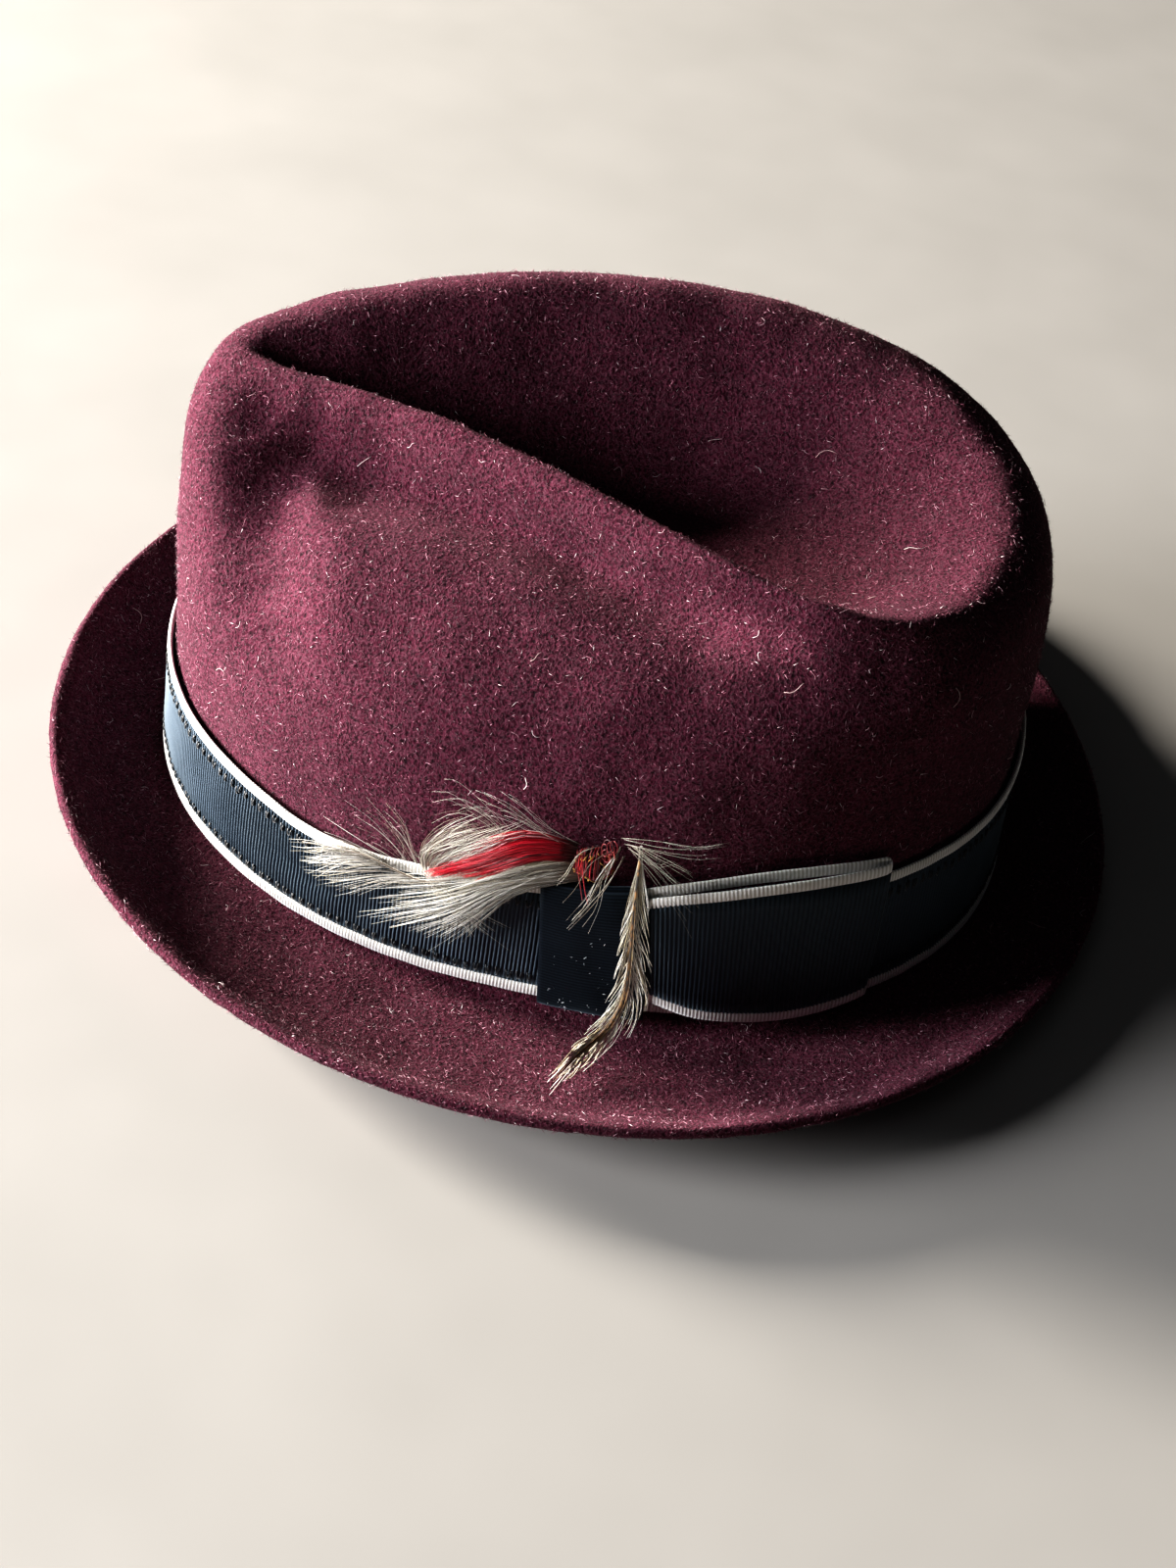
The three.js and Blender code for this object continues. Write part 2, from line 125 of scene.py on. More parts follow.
def sweep(paths, radii, facing, sides):    # many tubes at once: paths (strands, points, 3)
    count, steps = paths.shape[:2]
    along = unit(np.gradient(paths, axis=1))
    across = unit(np.cross(along, np.broadcast_to(facing, paths.shape)))
    outward = np.cross(across, along)
    turns = evenTurns(sides)
    ring = across[:, :, None] * np.cos(turns)[:, None] + outward[:, :, None] * np.sin(turns)[:, None]
    points = paths[:, :, None] + ring * radii[:, :, None, None]
    cell = gridFaces(steps, sides, closedColumns=True)
    faces = (cell[None] + (np.arange(count) * steps * sides)[:, None, None]).reshape(-1, 4)
    return points.reshape(-1, 3), faces


def repeatTint(tints, times):    # from a colour a point (strands, points, 3) to a colour a vertex
    full = np.repeat(np.asarray(tints), times, axis=1).reshape(-1, 3)
    return np.concatenate([full, np.ones((len(full), 1))], 1)


def joinStrands(name, groups, material, node=None):
    # groups: (paths, radii, facing, tints, sides), each swept as closed strands with capped ends
    points, faces, tints, start = [], [], [], 0
    for paths, radii, facing, tint, sides in groups:
        made, cells = sweep(paths, radii, facing, sides)
        count, steps = paths.shape[:2]
        first = np.arange(count)[:, None] * steps * sides + np.arange(sides)
        faces += [cells + start, first[:, ::-1] + start, first + (steps - 1) * sides + start]
        points.append(made)
        tints.append(repeatTint(np.broadcast_to(tint, (count, steps, 3)), sides))
        start += len(made)
    points, tints = np.concatenate(points) * mm, np.concatenate(tints)
    return makePiece(name, points, faces, material, node, tints)


def ripple(points, wavelength, seed, waves=28):
    # Smooth uneven relief between about -1 and 1, from waves in random directions.
    source = np.random.default_rng(seed)
    directions = unit(source.normal(size=(waves, 3))) * (2 * math.pi / wavelength)
    directions = directions * source.uniform(0.7, 1.3, (waves, 1))
    phases = source.uniform(0, 2 * math.pi, waves)
    flat = points.reshape(-1, 3)
    total = np.zeros(len(flat))
    for direction, phase in zip(directions, phases):
        total += np.sin(flat @ direction + phase)
    return (total * math.sqrt(2 / waves) / 2).reshape(points.shape[:-1])


# The felt's surface, as sections round the hat: out under the brim, back over it and up to the crown's dent.
feltShape = {"thickness": 2.2, "hollowFlank": 1.8, "fullFlank": 0.6}
feltSections = {
    # name: front, back, left, right, tipLeft, tipRight, square, zFront, zLeft, zBack, zRight
    "mouth":      (103.8, 103.3, 83.8, 83.8, 1, 1, 2.15, 0, 0, 0, 0),
    "rest":       (109.5, 109.5, 90, 90, 1, 1, 2.1, 0, 0, 0, 0),
    "underFlare": (121, 121, 112, 112, 1, 1, 2.05, 2.1, 3.3, 1.4, 3.3),
    "underRise":  (128.6, 128.6, 126.6, 126.6, 1, 1, 2, 6.4, 7.8, 3.3, 7.8),
    "underRoll":  (131.6, 131.6, 131, 131, 1, 1, 2, 10.2, 11.7, 5.4, 11.7),
    "edgeUnder":  (132.9, 132.9, 132.9, 132.9, 1, 1, 2, 11.8, 13.3, 6.6, 13.3),
    "edge":       (133.5, 133.5, 133.5, 133.5, 1, 1, 2, 13.2, 14.7, 7.9, 14.7),
    "edgeTop":    (132.4, 132.4, 132.4, 132.4, 1, 1, 2, 14.2, 15.7, 8.9, 15.7),
    "roll":       (129.6, 129.6, 129, 129, 1, 1, 2, 12.6, 14, 7.7, 14),
    "rise":       (126.4, 126.4, 124.4, 124.4, 1, 1, 2, 8.6, 10, 5.5, 10),
    "flare":      (120, 120, 111, 111, 1, 1, 2.05, 4.3, 5.5, 3.6, 5.5),
    "break":      (109, 109, 88.8, 88.8, 1, 1, 2.1, 2.3, 2.3, 2.3, 2.3),
    "bandFoot":   (105.2, 105.3, 86, 86, 1, 1, 2.15, 3.8, 4.4, 5.4, 4.4),
    "bandMiddle": (104.3, 104.4, 85.2, 85.2, 1, 1, 2.15, 19, 21, 23.5, 21),
    "bandHead":   (103.8, 103.4, 84.6, 84.6, 1, 1, 2.15, 34, 38, 42, 38),
    "low":        (104.2, 102.8, 84.5, 84.5, 1, 1, 2.1, 51, 52, 54, 53),
    "middle":     (105, 102.5, 84, 84, 0.92, 0.94, 2.1, 70, 68, 71, 73),
    "bulge":      (104.5, 101, 86.5, 83.6, 0.74, 0.76, 2.1, 87, 81, 84, 91),
    "shoulder":   (102, 98.5, 85.5, 83.5, 0.5, 0.46, 2.1, 96.5, 90.5, 92, 102.5),
    "top":        (98, 94, 84, 77.5, 0.3, 0.34, 2.1, 101.5, 99, 96, 109.5),
    "ridge":      (92, 87, 84, 67.5, 0.16, 0.24, 2.1, 103, 106.5, 98, 113),
    "inside":     (85, 79, 75, 56.5, 0.11, 0.17, 2.1, 99.5, 101.5, 96, 108.5),
    "wall":       (68, 63, 59, 41, 0.1, 0.12, 2.1, 88, 87, 90.5, 94),
    "floor":      (50, 44, 36, 26, 0.1, 0.1, 2.1, 77, 76, 85, 80),
    "pit":        (30, 24, 15, 12, 0.1, 0.1, 2.1, 73, 72.5, 80, 74),
}
creaseDirection = (-0.75, 0.2, -0.63)
creases = {
    # The valley pushed into the crown's left side, under the ridge and down the front: x, y, z, then
    # its depth and its reach to either side, for each place along it.
    "underRidge": (
        (22, -82, 98, 5, 9), (28, -72, 97, 11, 11), (32, -58, 97, 12.5, 10.5), (35, -44, 98, 12, 9),
        (39.5, -26, 98, 11, 7.5), (45, -7, 97.5, 10, 7), (51, 10, 96.5, 8.5, 7), (54.5, 27, 95.5, 6, 7),
        (55, 40, 95, 2, 7), (56, 50, 95, 0, 8)),
    "frontPinch": (
        (28, -72, 97, 11, 11), (34, -76, 90, 9.5, 12.5), (42, -75, 84, 9, 13), (50, -71, 78, 7, 13),
        (58, -67, 71, 4, 12), (64, -65, 62, 0, 10)),
}
sectionNames = list(feltSections)
sectionRows = np.array(list(feltSections.values()), float)
lastSection = len(sectionRows) - 1


def signedPower(value, power):
    return np.sign(value) * np.abs(value) ** power


def ringPoint(section, angle):
    # Angle 0 is the front and a quarter turn is the wearer's left. The section may be an array of them.
    values = np.moveaxis(sectionRows[section], -1, 0)
    front, back, left, right, tipLeft, tipRight, square, zFront, zLeft, zBack, zRight = values
    along = signedPower(np.cos(angle), 2 / square)
    across = signedPower(np.sin(angle), 2 / square)
    isLeft = across >= 0
    fromFront = np.clip((1 - along) / 2, 0, 1)
    tip = np.where(isLeft, tipLeft, tipRight)
    flank = np.where(isLeft, feltShape["hollowFlank"], feltShape["fullFlank"])
    half = np.where(isLeft, left, right) * (tip + (1 - tip) * fromFront ** flank)
    zSide = (zLeft + zRight) / 2
    cosine = np.cos(angle)
    z = zSide + (zFront - zBack) / 2 * cosine + ((zFront + zBack) / 2 - zSide) * cosine ** 2
    z = z + (zLeft - zRight) / 2 * np.sin(angle)
    return np.stack([half * across, (back - front) / 2 - (front + back) / 2 * along, z], -1)


def sectionPlaces():    # spaced by the square root of the distance, so that the curve has no loops
    probe = evenTurns(24)
    rings = [ringPoint(i, probe) for i in range(lastSection + 1)]
    gaps = [np.linalg.norm(b - a, axis=-1).mean() ** 0.5 for a, b in zip(rings, rings[1:])]
    return np.concatenate([[0], np.cumsum(gaps)])


places = sectionPlaces()


def placeOf(name):
    return places[sectionNames.index(name)]


def creased(points):
    deepest = np.zeros(points.shape[:-1])
    for stations in creases.values():
        for first, second in zip(np.array(stations, float), np.array(stations, float)[1:]):
            line = second[:3] - first[:3]
            share = np.clip((points - first[:3]) @ line / (line @ line), 0, 1)
            gap = np.linalg.norm(points - first[:3] - share[..., None] * line, axis=-1)
            depth = first[3] + (second[3] - first[3]) * share
            reach = first[4] + (second[4] - first[4]) * share
            deepest = np.maximum(deepest, depth * np.exp(-(gap / reach) ** 2))
    return points + deepest[..., None] * unit(np.array(creaseDirection, float))


def feltPoint(place, angle):    # a smooth curve through the sections, straight at the rest and under the band
    place, angle = np.broadcast_arrays(np.asarray(place, float), np.asarray(angle, float))
    i = np.minimum(np.searchsorted(places[1:], place), lastSection - 1)
    t0, t1, t2 = places[np.maximum(i - 1, 0)], places[i], places[i + 1]
    isLast = i + 2 > lastSection
    t3 = np.where(isLast, 2 * t2 - t1, places[np.minimum(i + 2, lastSection)])
    before, p1, p2 = ringPoint(np.maximum(i - 1, 0), angle), ringPoint(i, angle), ringPoint(i + 1, angle)
    after = np.where(isLast[..., None], 2 * p2 - p1, ringPoint(np.minimum(i + 2, lastSection), angle))
    t0 = np.where(i == 0, t1 - 1, t0)
    isUnderBand = (i >= sectionNames.index("bandFoot")) & (i < sectionNames.index("bandHead"))
    isStraight = (i < sectionNames.index("underFlare")) | isUnderBand

    def mix(a, b, start, end):
        return a + (b - a) * ((place - start) / (end - start))[..., None]

    a1, a2, a3 = mix(before, p1, t0, t1), mix(p1, p2, t1, t2), mix(p2, after, t2, t3)
    curved = mix(mix(a1, a2, t0, t2), mix(a2, a3, t1, t3), t1, t2)
    return creased(np.where(isStraight[..., None], a2, curved))


def feltNormal(place, angle):
    step = 0.02
    up = feltPoint(place + step, angle) - feltPoint(place - step, angle)
    around = feltPoint(place, angle + step) - feltPoint(place, angle - step)
    return unit(np.cross(around, up))


def placeAtHeight(angle, height):    # on the lower half of the crown
    angle, height = np.broadcast_arrays(np.asarray(angle, float), np.asarray(height, float))
    low, high = np.full(angle.shape, placeOf("bandFoot")), np.full(angle.shape, placeOf("middle"))
    for _ in range(20):    # each step halves what is left to search
        middle = (low + high) / 2
        below = feltPoint(middle, angle)[..., 2] < height
        low, high = np.where(below, middle, low), np.where(below, high, middle)
    return low


def offAtHeight(angle, height, distance):
    place = placeAtHeight(angle, height)
    return feltPoint(place, angle) + feltNormal(place, angle) * np.asarray(distance, float)[..., None]


angleTable = np.linspace(0, math.pi, 2000)
sideTable = feltPoint(placeOf("bandMiddle"), angleTable)[:, 1]


def angleAt(y):    # on the wearer's left
    return np.interp(y, sideTable, angleTable)


# The felt body: crown and brim are one piece of felt.
feltLook = {
    "ringPoints": 300, "rowSpacing": 1.9, "innerSpacing": 4,
    "lumpSize": 24, "lumpHeight": 0.35, "dimpleSize": 5, "dimpleHeight": 0.09,
    "cutSize": 2.2, "cutHeight": 0.16, "cutFrom": 130.5, "cutBlend": 2,    # the brim's edge, from the centre
    "bendSize": 1.5, "bend": 1.2, "fibreSpacing": 1.1, "grainSize": 0.75, "mottleSize": 10, "bumpHeight": 0.5,
    # deep is painted shade in the fibres' gaps and the real cloudy dyeing; pale is painted highlight on
    # raised fibres
    "deep": "#16050b", "wine": "#592133", "rose": "#965d6d", "pale": "#e3b8c3", "bloom": "#a8747f",
}


def feltMaterial():
    # Fulled wool felt: no shine at all, a soft bloom at grazing angles, and a dense tangle of fine fibres,
    # coloured pale where they stand high in the bump (painted highlight) and nearly black in the low gaps
    # between them (painted shade).
    look = feltLook
    material, tree, shader = startMaterial(
        "fulledWoolFelt", Roughness=0.95, Specular_IOR_Level=0.12,
        Sheen_Weight=0.15, Sheen_Roughness=0.4, Sheen_Tint=toLinear(look["bloom"]))
    place = addNode(tree, "TexCoord").outputs["Object"]
    waver = addNode(tree, "TexNoise", {
        "Vector": place, "Scale": 1 / (look["bendSize"] * mm), "Detail": 2}).outputs["Color"]
    bent = addNode(tree, "VectorMath", {
        0: waver, 1: (look["bend"] * mm,) * 3, 2: place}, operation="MULTIPLY_ADD").outputs[0]
    fibres = addNode(tree, "TexNoise", {    # curly threads where the ridges run
        "Vector": bent, "Scale": 1 / (look["fibreSpacing"] * mm), "Detail": 3, "Roughness": 0.6,
        "Offset": 0.9, "Gain": 2.2}, noise_type="RIDGED_MULTIFRACTAL", normalize=False).outputs[0]
    grain = addNode(tree, "TexNoise", {    # a clump of wool fibres
        "Vector": place, "Scale": 1 / (look["grainSize"] * mm), "Detail": 4, "Roughness": 0.65}).outputs[0]
    mottle = addNode(tree, "TexNoise", {    # cloudy dyeing
        "Vector": place, "Scale": 1 / (look["mottleSize"] * mm), "Detail": 3, "Roughness": 0.55}).outputs[0]
    # painted shade: nearly black where the grain, and so the bump, is low
    color = layOver(tree, toLinear(look["deep"]), grain, 0.36, 0.6, 1, look["wine"])
    color = layOver(tree, color, fibres, 0.9, 2.2, 0.75, look["rose"])
    # painted highlight: pale where the fibres, and so the bump, stand highest
    color = layOver(tree, color, fibres, 2.0, 3.2, 0.6, look["pale"])
    # the real cloudy dyeing, in the same dark colour
    color = layOver(tree, color, mottle, 0.3, 0.7, 0.25, look["deep"])
    tree.links.new(color, shader.inputs["Base Color"])
    relief = addNode(tree, "Math", {0: fibres, 1: 0.25, 2: grain}, operation="MULTIPLY_ADD").outputs[0]
    bump = addNode(tree, "Bump", {"Strength": 1.0, "Distance": look["bumpHeight"] * mm, "Height": relief})
    tree.links.new(bump.outputs[0], shader.inputs["Normal"])
    return material


def rowPlaces(first, last, spacing):
    found = []
    probe = evenTurns(24)
    for i in range(sectionNames.index(first), sectionNames.index(last)):
        length = np.linalg.norm(ringPoint(i + 1, probe) - ringPoint(i, probe), axis=-1).max()
        steps = max(1, math.ceil(length / spacing))
        found += list(np.linspace(places[i], places[i + 1], steps, endpoint=False))
    return np.array(found + [placeOf(last)])


def uneven(grid, normals):
    # The felt's soft lumps and dimples, and the roughly cut edge of the brim.
    look = feltLook
    relief = look["lumpHeight"] * ripple(grid, look["lumpSize"], 11)
    relief = relief + look["dimpleHeight"] * ripple(grid, look["dimpleSize"], 12)
    reach = np.linalg.norm(grid[..., :2], axis=-1)
    nearEdge = np.clip((reach - look["cutFrom"]) / look["cutBlend"], 0, 1)
    relief = relief * (1 - nearEdge) + nearEdge * look["cutHeight"] * ripple(grid, look["cutSize"], 13)
    moved = grid + normals * relief[..., None]
    moved[..., 2] = np.maximum(moved[..., 2], 0)    # it is flat where it rests
    return moved


ringAngles = evenTurns(feltLook["ringPoints"])
outerPlaces = rowPlaces("mouth", "pit", feltLook["rowSpacing"])
outerNormals = feltNormal(outerPlaces[:, None], ringAngles[None])
outerGrid = uneven(feltPoint(outerPlaces[:, None], ringAngles[None]), outerNormals)


def buildFelt():
    innerPlaces = rowPlaces("bandFoot", "pit", feltLook["innerSpacing"])[::-1]
    normals = feltNormal(innerPlaces[:, None], ringAngles[None])
    skin = uneven(feltPoint(innerPlaces[:, None], ringAngles[None]), normals)
    grid = np.concatenate([skin - normals * feltShape["thickness"], outerGrid])
    points = np.concatenate([grid.reshape(-1, 3), [grid[0].mean(0)], [grid[-1].mean(0)]])
    rows, columns = grid.shape[:2]
    ring = np.arange(columns)
    under = np.stack([np.full(columns, rows * columns), np.roll(ring, -1), ring], -1)
    last = (rows - 1) * columns
    over = np.stack([np.full(columns, rows * columns + 1), last + ring, last + np.roll(ring, -1)], -1)
    faces = [gridFaces(rows, columns, closedColumns=True), under, over]
    makePiece("feltBody", points * mm, faces, feltMaterial(), "felt_body")


# Nap: short wool fibres that stand off the felt.
nap = {
    "crown": 46000, "brim": 42000, "under": 5000,
    "length": (0.5, 1.7), "lift": (0.05, 0.8), "sunk": 0.05,
    "radius": (0.045, 0.095),    # drawn coarser than real wool, so that it shows
    # the two palest tints are painted highlights: fibres coloured as if they caught the light
    "tints": ("#290a13", "#632437", "#935364", "#d09daa", "#f7e6e5"),
    "shares": (0.26, 0.35, 0.26, 0.11, 0.02),
}


def tintedMaterial(name, roughness, sheen=0.0, specular=0.3, **more):
    material, tree, shader = startMaterial(
        name, Roughness=roughness, Sheen_Weight=sheen, Specular_IOR_Level=specular, **more)
    tint = addNode(tree, "Attribute", attribute_name="tint").outputs["Color"]
    tree.links.new(tint, shader.inputs["Base Color"])
    return material


def scatterOnFelt(count, fromPlace, toPlace):
    rows = np.where((outerPlaces >= fromPlace) & (outerPlaces <= toPlace))[0]
    grid, normals = outerGrid[rows], outerNormals[rows]
    a, b = grid[:-1], np.roll(grid[:-1], -1, 1)
    c, d = np.roll(grid[1:], -1, 1), grid[1:]
    area = np.linalg.norm(np.cross(b - a, d - a), axis=-1)
    chosen = dice.choice(area.size, count, p=(area / area.sum()).ravel())
    i, j = np.unravel_index(chosen, area.shape)
    u, v = dice.random((2, count, 1))
    roots = (a[i, j] * (1 - u) + b[i, j] * u) * (1 - v) + (d[i, j] * (1 - u) + c[i, j] * u) * v
    return roots, unit(normals[i, j])


def pickTints(codes, shares, count):
    colors = np.array([toLinear(code)[:3] for code in codes])
    chosen = dice.choice(len(codes), count, p=np.array(shares) / sum(shares))
    return colors[chosen] * dice.uniform(0.85, 1.15, (count, 1))


def randomAlong(normals):    # random directions in the surface
    return unit(np.cross(normals, dice.normal(size=normals.shape)))


def slivers(roots, directions, lengths, radii):
    # Straight closed fibres: a three-sided root that tapers to a point.
    across = unit(np.cross(directions, dice.normal(size=directions.shape)))
    beside = np.cross(directions, across)
    turns = evenTurns(3)
    ring = across[:, None] * np.cos(turns)[:, None] + beside[:, None] * np.sin(turns)[:, None]
    base = roots[:, None] + ring * radii[:, None, None]
    points = np.concatenate([base, (roots + directions * lengths[:, None])[:, None]], 1)
    corners = np.array([(0, 1, 3), (1, 2, 3), (2, 0, 3), (2, 1, 0)])
    return points.reshape(-1, 3), (corners[None] + 4 * np.arange(len(roots))[:, None, None]).reshape(-1, 3)


def buildNap(name, count, fromPlace, toPlace, material):
    roots, normals = scatterOnFelt(count, fromPlace, toPlace)
    lift = dice.uniform(*nap["lift"], (count, 1))
    directions = unit(randomAlong(normals) + normals * lift)
    lengths, radii = dice.uniform(*nap["length"], count), dice.uniform(*nap["radius"], count)
    points, faces = slivers(roots - normals * nap["sunk"], directions, lengths, radii)
    points[:, 2] = np.maximum(points[:, 2], 0)    # none is pushed through what the hat rests on
    tints = repeatTint(pickTints(nap["tints"], nap["shares"], count)[:, None], 4)
    makePiece(name, points * mm, [faces], material, tint=tints)


lint = {
    # how many on the crown and again on the brim, from and to what length, radius and colours
    "curls": (200, (0.9, 2.4), 0.05, ("#b97d8b", "#dcb2ba", "#f3e3e2")),
    "hairs": (22, (2, 5.5), 0.065, ("#e9c9c4", "#fff6ee", "#c98f99")),
    "shares": (0.5, 0.35, 0.15), "points": 6,
}


def buildLint(kind, part, fromPlace, toPlace, material):
    # Loose curly fibres and stray hairs that lie on the nap.
    count, length, radius, codes = lint[kind]
    roots, normals = scatterOnFelt(count, fromPlace, toPlace)
    ahead = randomAlong(normals)
    aside = np.cross(normals, ahead)
    reach = dice.uniform(*length, (count, 1, 1))
    t = np.linspace(-0.5, 0.5, lint["points"])[:, None]
    bend, twist = dice.normal(size=(2, count, 1, 1))
    rise = 0.3 + 0.35 * dice.random((count, 1, 1)) * (1 - 4 * t ** 2)
    paths = (roots[:, None] + ahead[:, None] * t * reach + normals[:, None] * rise
             + aside[:, None] * (bend * t ** 2 + 1.2 * twist * t ** 3) * reach)
    tints = pickTints(codes, lint["shares"], count)[:, None]
    group = (paths, np.full(paths.shape[:2], radius), normals[:, None], tints, 3)
    joinStrands(kind + part, [group], material)


# The ribbon round the crown, with a cream edging along each side.
bandEdges = {
    # degrees from the front, left positive: height of the lower and of the upper edge
    -180: (5.6, 42), -135: (5, 40.5), -90: (4.5, 38), -45: (4.2, 35.2), 0: (4, 34), 38: (4, 33.9),
    52: (4, 33.1), 66: (4, 31.4), 79: (4.2, 34.6), 92: (4.8, 39), 112: (4.9, 41), 138: (5, 42.4),
    180: (5.6, 42),
}
ribbon = {
    "gap": 0.35, "thickness": 0.9, "ribPitch": 0.95, "ribDepth": 0.4,    # drawn coarser than the real 0.7
    "columnsPerRib": 4, "rows": 11, "frontBulge": 1.0, "pucker": 0.16, "clothThickness": 0.35,
    # the groove colour is painted shade in the grooves between the ribs, and also the real dark speckle and
    # patches
    "grooveShadeAndSpots": "#010102", "rib": "#26323d", "shine": "#b7cddd",
    "noises": ((0.6, 3), (14, 2), (0.3, 2)),    # speckle, faded patches and thread grain: size and detail
    # a short slanting dent in front of the bow: its depth, where and how wide in degrees, at what share of
    # the height, how much that changes with each degree, and how tall the dent is
    "dent": (0.4, 66, 11, 0.42, 0.004, 0.07), "bulgeWidth": 45,
}
edging = {
    "height": 3.1, "thickness": 1.25, "ribPitch": 0.8, "ribDepth": 0.2, "columnsPerRib": 4, "sides": 8,
    "squareness": 0.8, "sway": 0.12, "halfOnBow": 0.46,
    # the groove colour is painted shade between the ribs; the soil colour is real handling dirt
    "cream": "#fefdf9", "grooveShadeAndSpots": "#b9b1a2", "soil": "#cfc5ae",
    "noises": ((6, 3), (0.25, 2)),    # soiling and thread grain: size and detail
    # share of the ribbon's height, stand-off, how much more at the front left and over how many degrees
    "bottom": (0.06, 0.35, 0.25, 60), "top": (0.955, 0.5, 0.3, 50),
}
frontLeft = 20    # degrees from the front, where the ribbon stands off most


def cubicThrough(positions, values):    # a smooth curve through the stations of a small table
    positions, values = np.asarray(positions, float), np.asarray(values, float)
    slopes = np.gradient(values, positions)

    def at(x):
        i = np.clip(np.searchsorted(positions, x) - 1, 0, len(positions) - 2)
        width = positions[i + 1] - positions[i]
        t = (x - positions[i]) / width
        return ((1 + 2 * t) * (1 - t) ** 2 * values[i] + t * (1 - t) ** 2 * width * slopes[i]
                + t * t * (3 - 2 * t) * values[i + 1] - t * t * (1 - t) * width * slopes[i + 1])
    return at


bandFootHeight = cubicThrough(list(bandEdges), [edge[0] for edge in bandEdges.values()])
bandHeadHeight = cubicThrough(list(bandEdges), [edge[1] for edge in bandEdges.values()])


def degreesFromFront(angle):    # left positive, right negative
    turn = np.degrees(angle)
    return np.where(turn > 180, turn - 360, turn)


def bandHeights(angle):
    turn = degreesFromFront(angle)
    return bandFootHeight(turn), bandHeadHeight(turn)


def evenAngles(pitch, perRib):    # angles at equal steps along the band, a whole number of ribs round the hat
    dense = np.linspace(0, 2 * math.pi, 6001)
    line = feltPoint(placeOf("bandMiddle"), dense)
    reach = np.concatenate([[0], np.cumsum(np.linalg.norm(np.diff(line, axis=0), axis=-1))])
    ribs = round(reach[-1] / pitch)
    return np.interp(np.arange(ribs * perRib) / (ribs * perRib) * reach[-1], reach, dense), reach[-1]


def ribWave(count, perRib):
    return 0.5 + 0.5 * np.cos(2 * math.pi * (np.arange(count) % perRib) / perRib)


def grosgrainMaterial(name, roughness, specular, turn):
    # Navy rayon grosgrain: fine ribs, with painted shade that makes the grooves between them near-black. Its
    # silky threads run across the ribs and spread the light into a cool gleam at a right angle to themselves;
    # turn is 0 where they lie level.
    shine = toLinear(ribbon["shine"])
    material, tree, shader = startMaterial(
        name, Roughness=roughness, Specular_IOR_Level=specular, Specular_Tint=shine,
        Sheen_Weight=0.35, Sheen_Roughness=0.35, Sheen_Tint=shine,
        Anisotropic=0.85, Anisotropic_Rotation=turn)
    upright = addNode(tree, "CombineXYZ", {"Z": 1.0}).outputs[0]
    tree.links.new(upright, shader.inputs["Tangent"])
    place = addNode(tree, "TexCoord").outputs["Object"]
    height = addNode(tree, "Attribute", attribute_name="tint").outputs["Color"]
    speckle, fade, grain = (addNode(tree, "TexNoise", {
        "Vector": place, "Scale": 1 / (size * mm), "Detail": detail, "Roughness": 0.55}).outputs[0]
        for size, detail in ribbon["noises"])
    # painted shade: dark in the grooves and lighter on the rib tops, following the rib profile in the tint
    # attribute
    color = layOver(tree, toLinear(ribbon["grooveShadeAndSpots"]), height, 0.1, 0.9, 1, ribbon["rib"])
    # the speckle and the darker patches reuse the same dark colour as real uneven tone
    color = layOver(tree, color, speckle, 0.4, 0.75, 0.5, ribbon["grooveShadeAndSpots"])
    color = layOver(tree, color, fade, 0.4, 0.7, 0.25, ribbon["grooveShadeAndSpots"])
    tree.links.new(color, shader.inputs["Base Color"])
    bump = addNode(tree, "Bump", {"Strength": 0.5, "Distance": 0.08 * mm, "Height": grain})
    tree.links.new(bump.outputs[0], shader.inputs["Normal"])
    return material


def pipingMaterial():
    # Cream ribbed edging: matt cotton, bright on each rib, with painted shade greying the grooves, and greyed
    # by handling.
    material, tree, shader = startMaterial(
        "creamCottonPiping", Roughness=0.75, Sheen_Weight=0.9, Specular_IOR_Level=0.25)
    place = addNode(tree, "TexCoord").outputs["Object"]
    height = addNode(tree, "Attribute", attribute_name="tint").outputs["Color"]
    soil, grain = (addNode(tree, "TexNoise", {
        "Vector": place, "Scale": 1 / (size * mm), "Detail": detail, "Roughness": 0.55}).outputs[0]
        for size, detail in edging["noises"])
    # painted shade: greyed in the grooves, following the rib profile in the tint attribute
    color = layOver(tree, toLinear(edging["grooveShadeAndSpots"]), height, 0, 1, 1, edging["cream"])
    color = layOver(tree, color, soil, 0.5, 0.8, 0.35, edging["soil"])
    tree.links.new(color, shader.inputs["Base Color"])
    bump = addNode(tree, "Bump", {"Strength": 0.4, "Distance": 0.06 * mm, "Height": grain})
    tree.links.new(bump.outputs[0], shader.inputs["Normal"])
    return material


def greyTint(values):
    flat = np.asarray(values, float).ravel()
    return np.stack([flat, flat, flat, np.ones_like(flat)], -1)


def rimFaces(near, far, isClosed, isFlipped):
    pairs = [near, far, np.roll(far, -1), np.roll(near, -1)]
    rim = np.stack(pairs if isClosed else [side[:-1] for side in pairs], -1)
    return rim[:, ::-1] if isFlipped else rim


def shellOf(outer, inner, closedColumns=False):
    # A thin closed sheet from the grids of its outer and inner faces, which have the same columns.
    rows, columns = outer.shape[:2]
    start = rows * columns
    points = np.concatenate([outer.reshape(-1, 3), inner.reshape(-1, 3)])
    line, side = np.arange(columns), np.arange(rows) * columns
    innerLast = start + (inner.shape[0] - 1) * columns
    faces = [
        gridFaces(rows, columns, closedColumns=closedColumns),
        gridFaces(inner.shape[0], columns, closedColumns=closedColumns, start=start)[:, ::-1],
        rimFaces(line, line + start, closedColumns, False),
        rimFaces(line + start - columns, line + innerLast, closedColumns, True)]
    if not closedColumns:
        faces.append(rimFaces(side, side + start, False, True))
        faces.append(rimFaces(side + columns - 1, side + columns - 1 + start, False, False))
    return points, faces


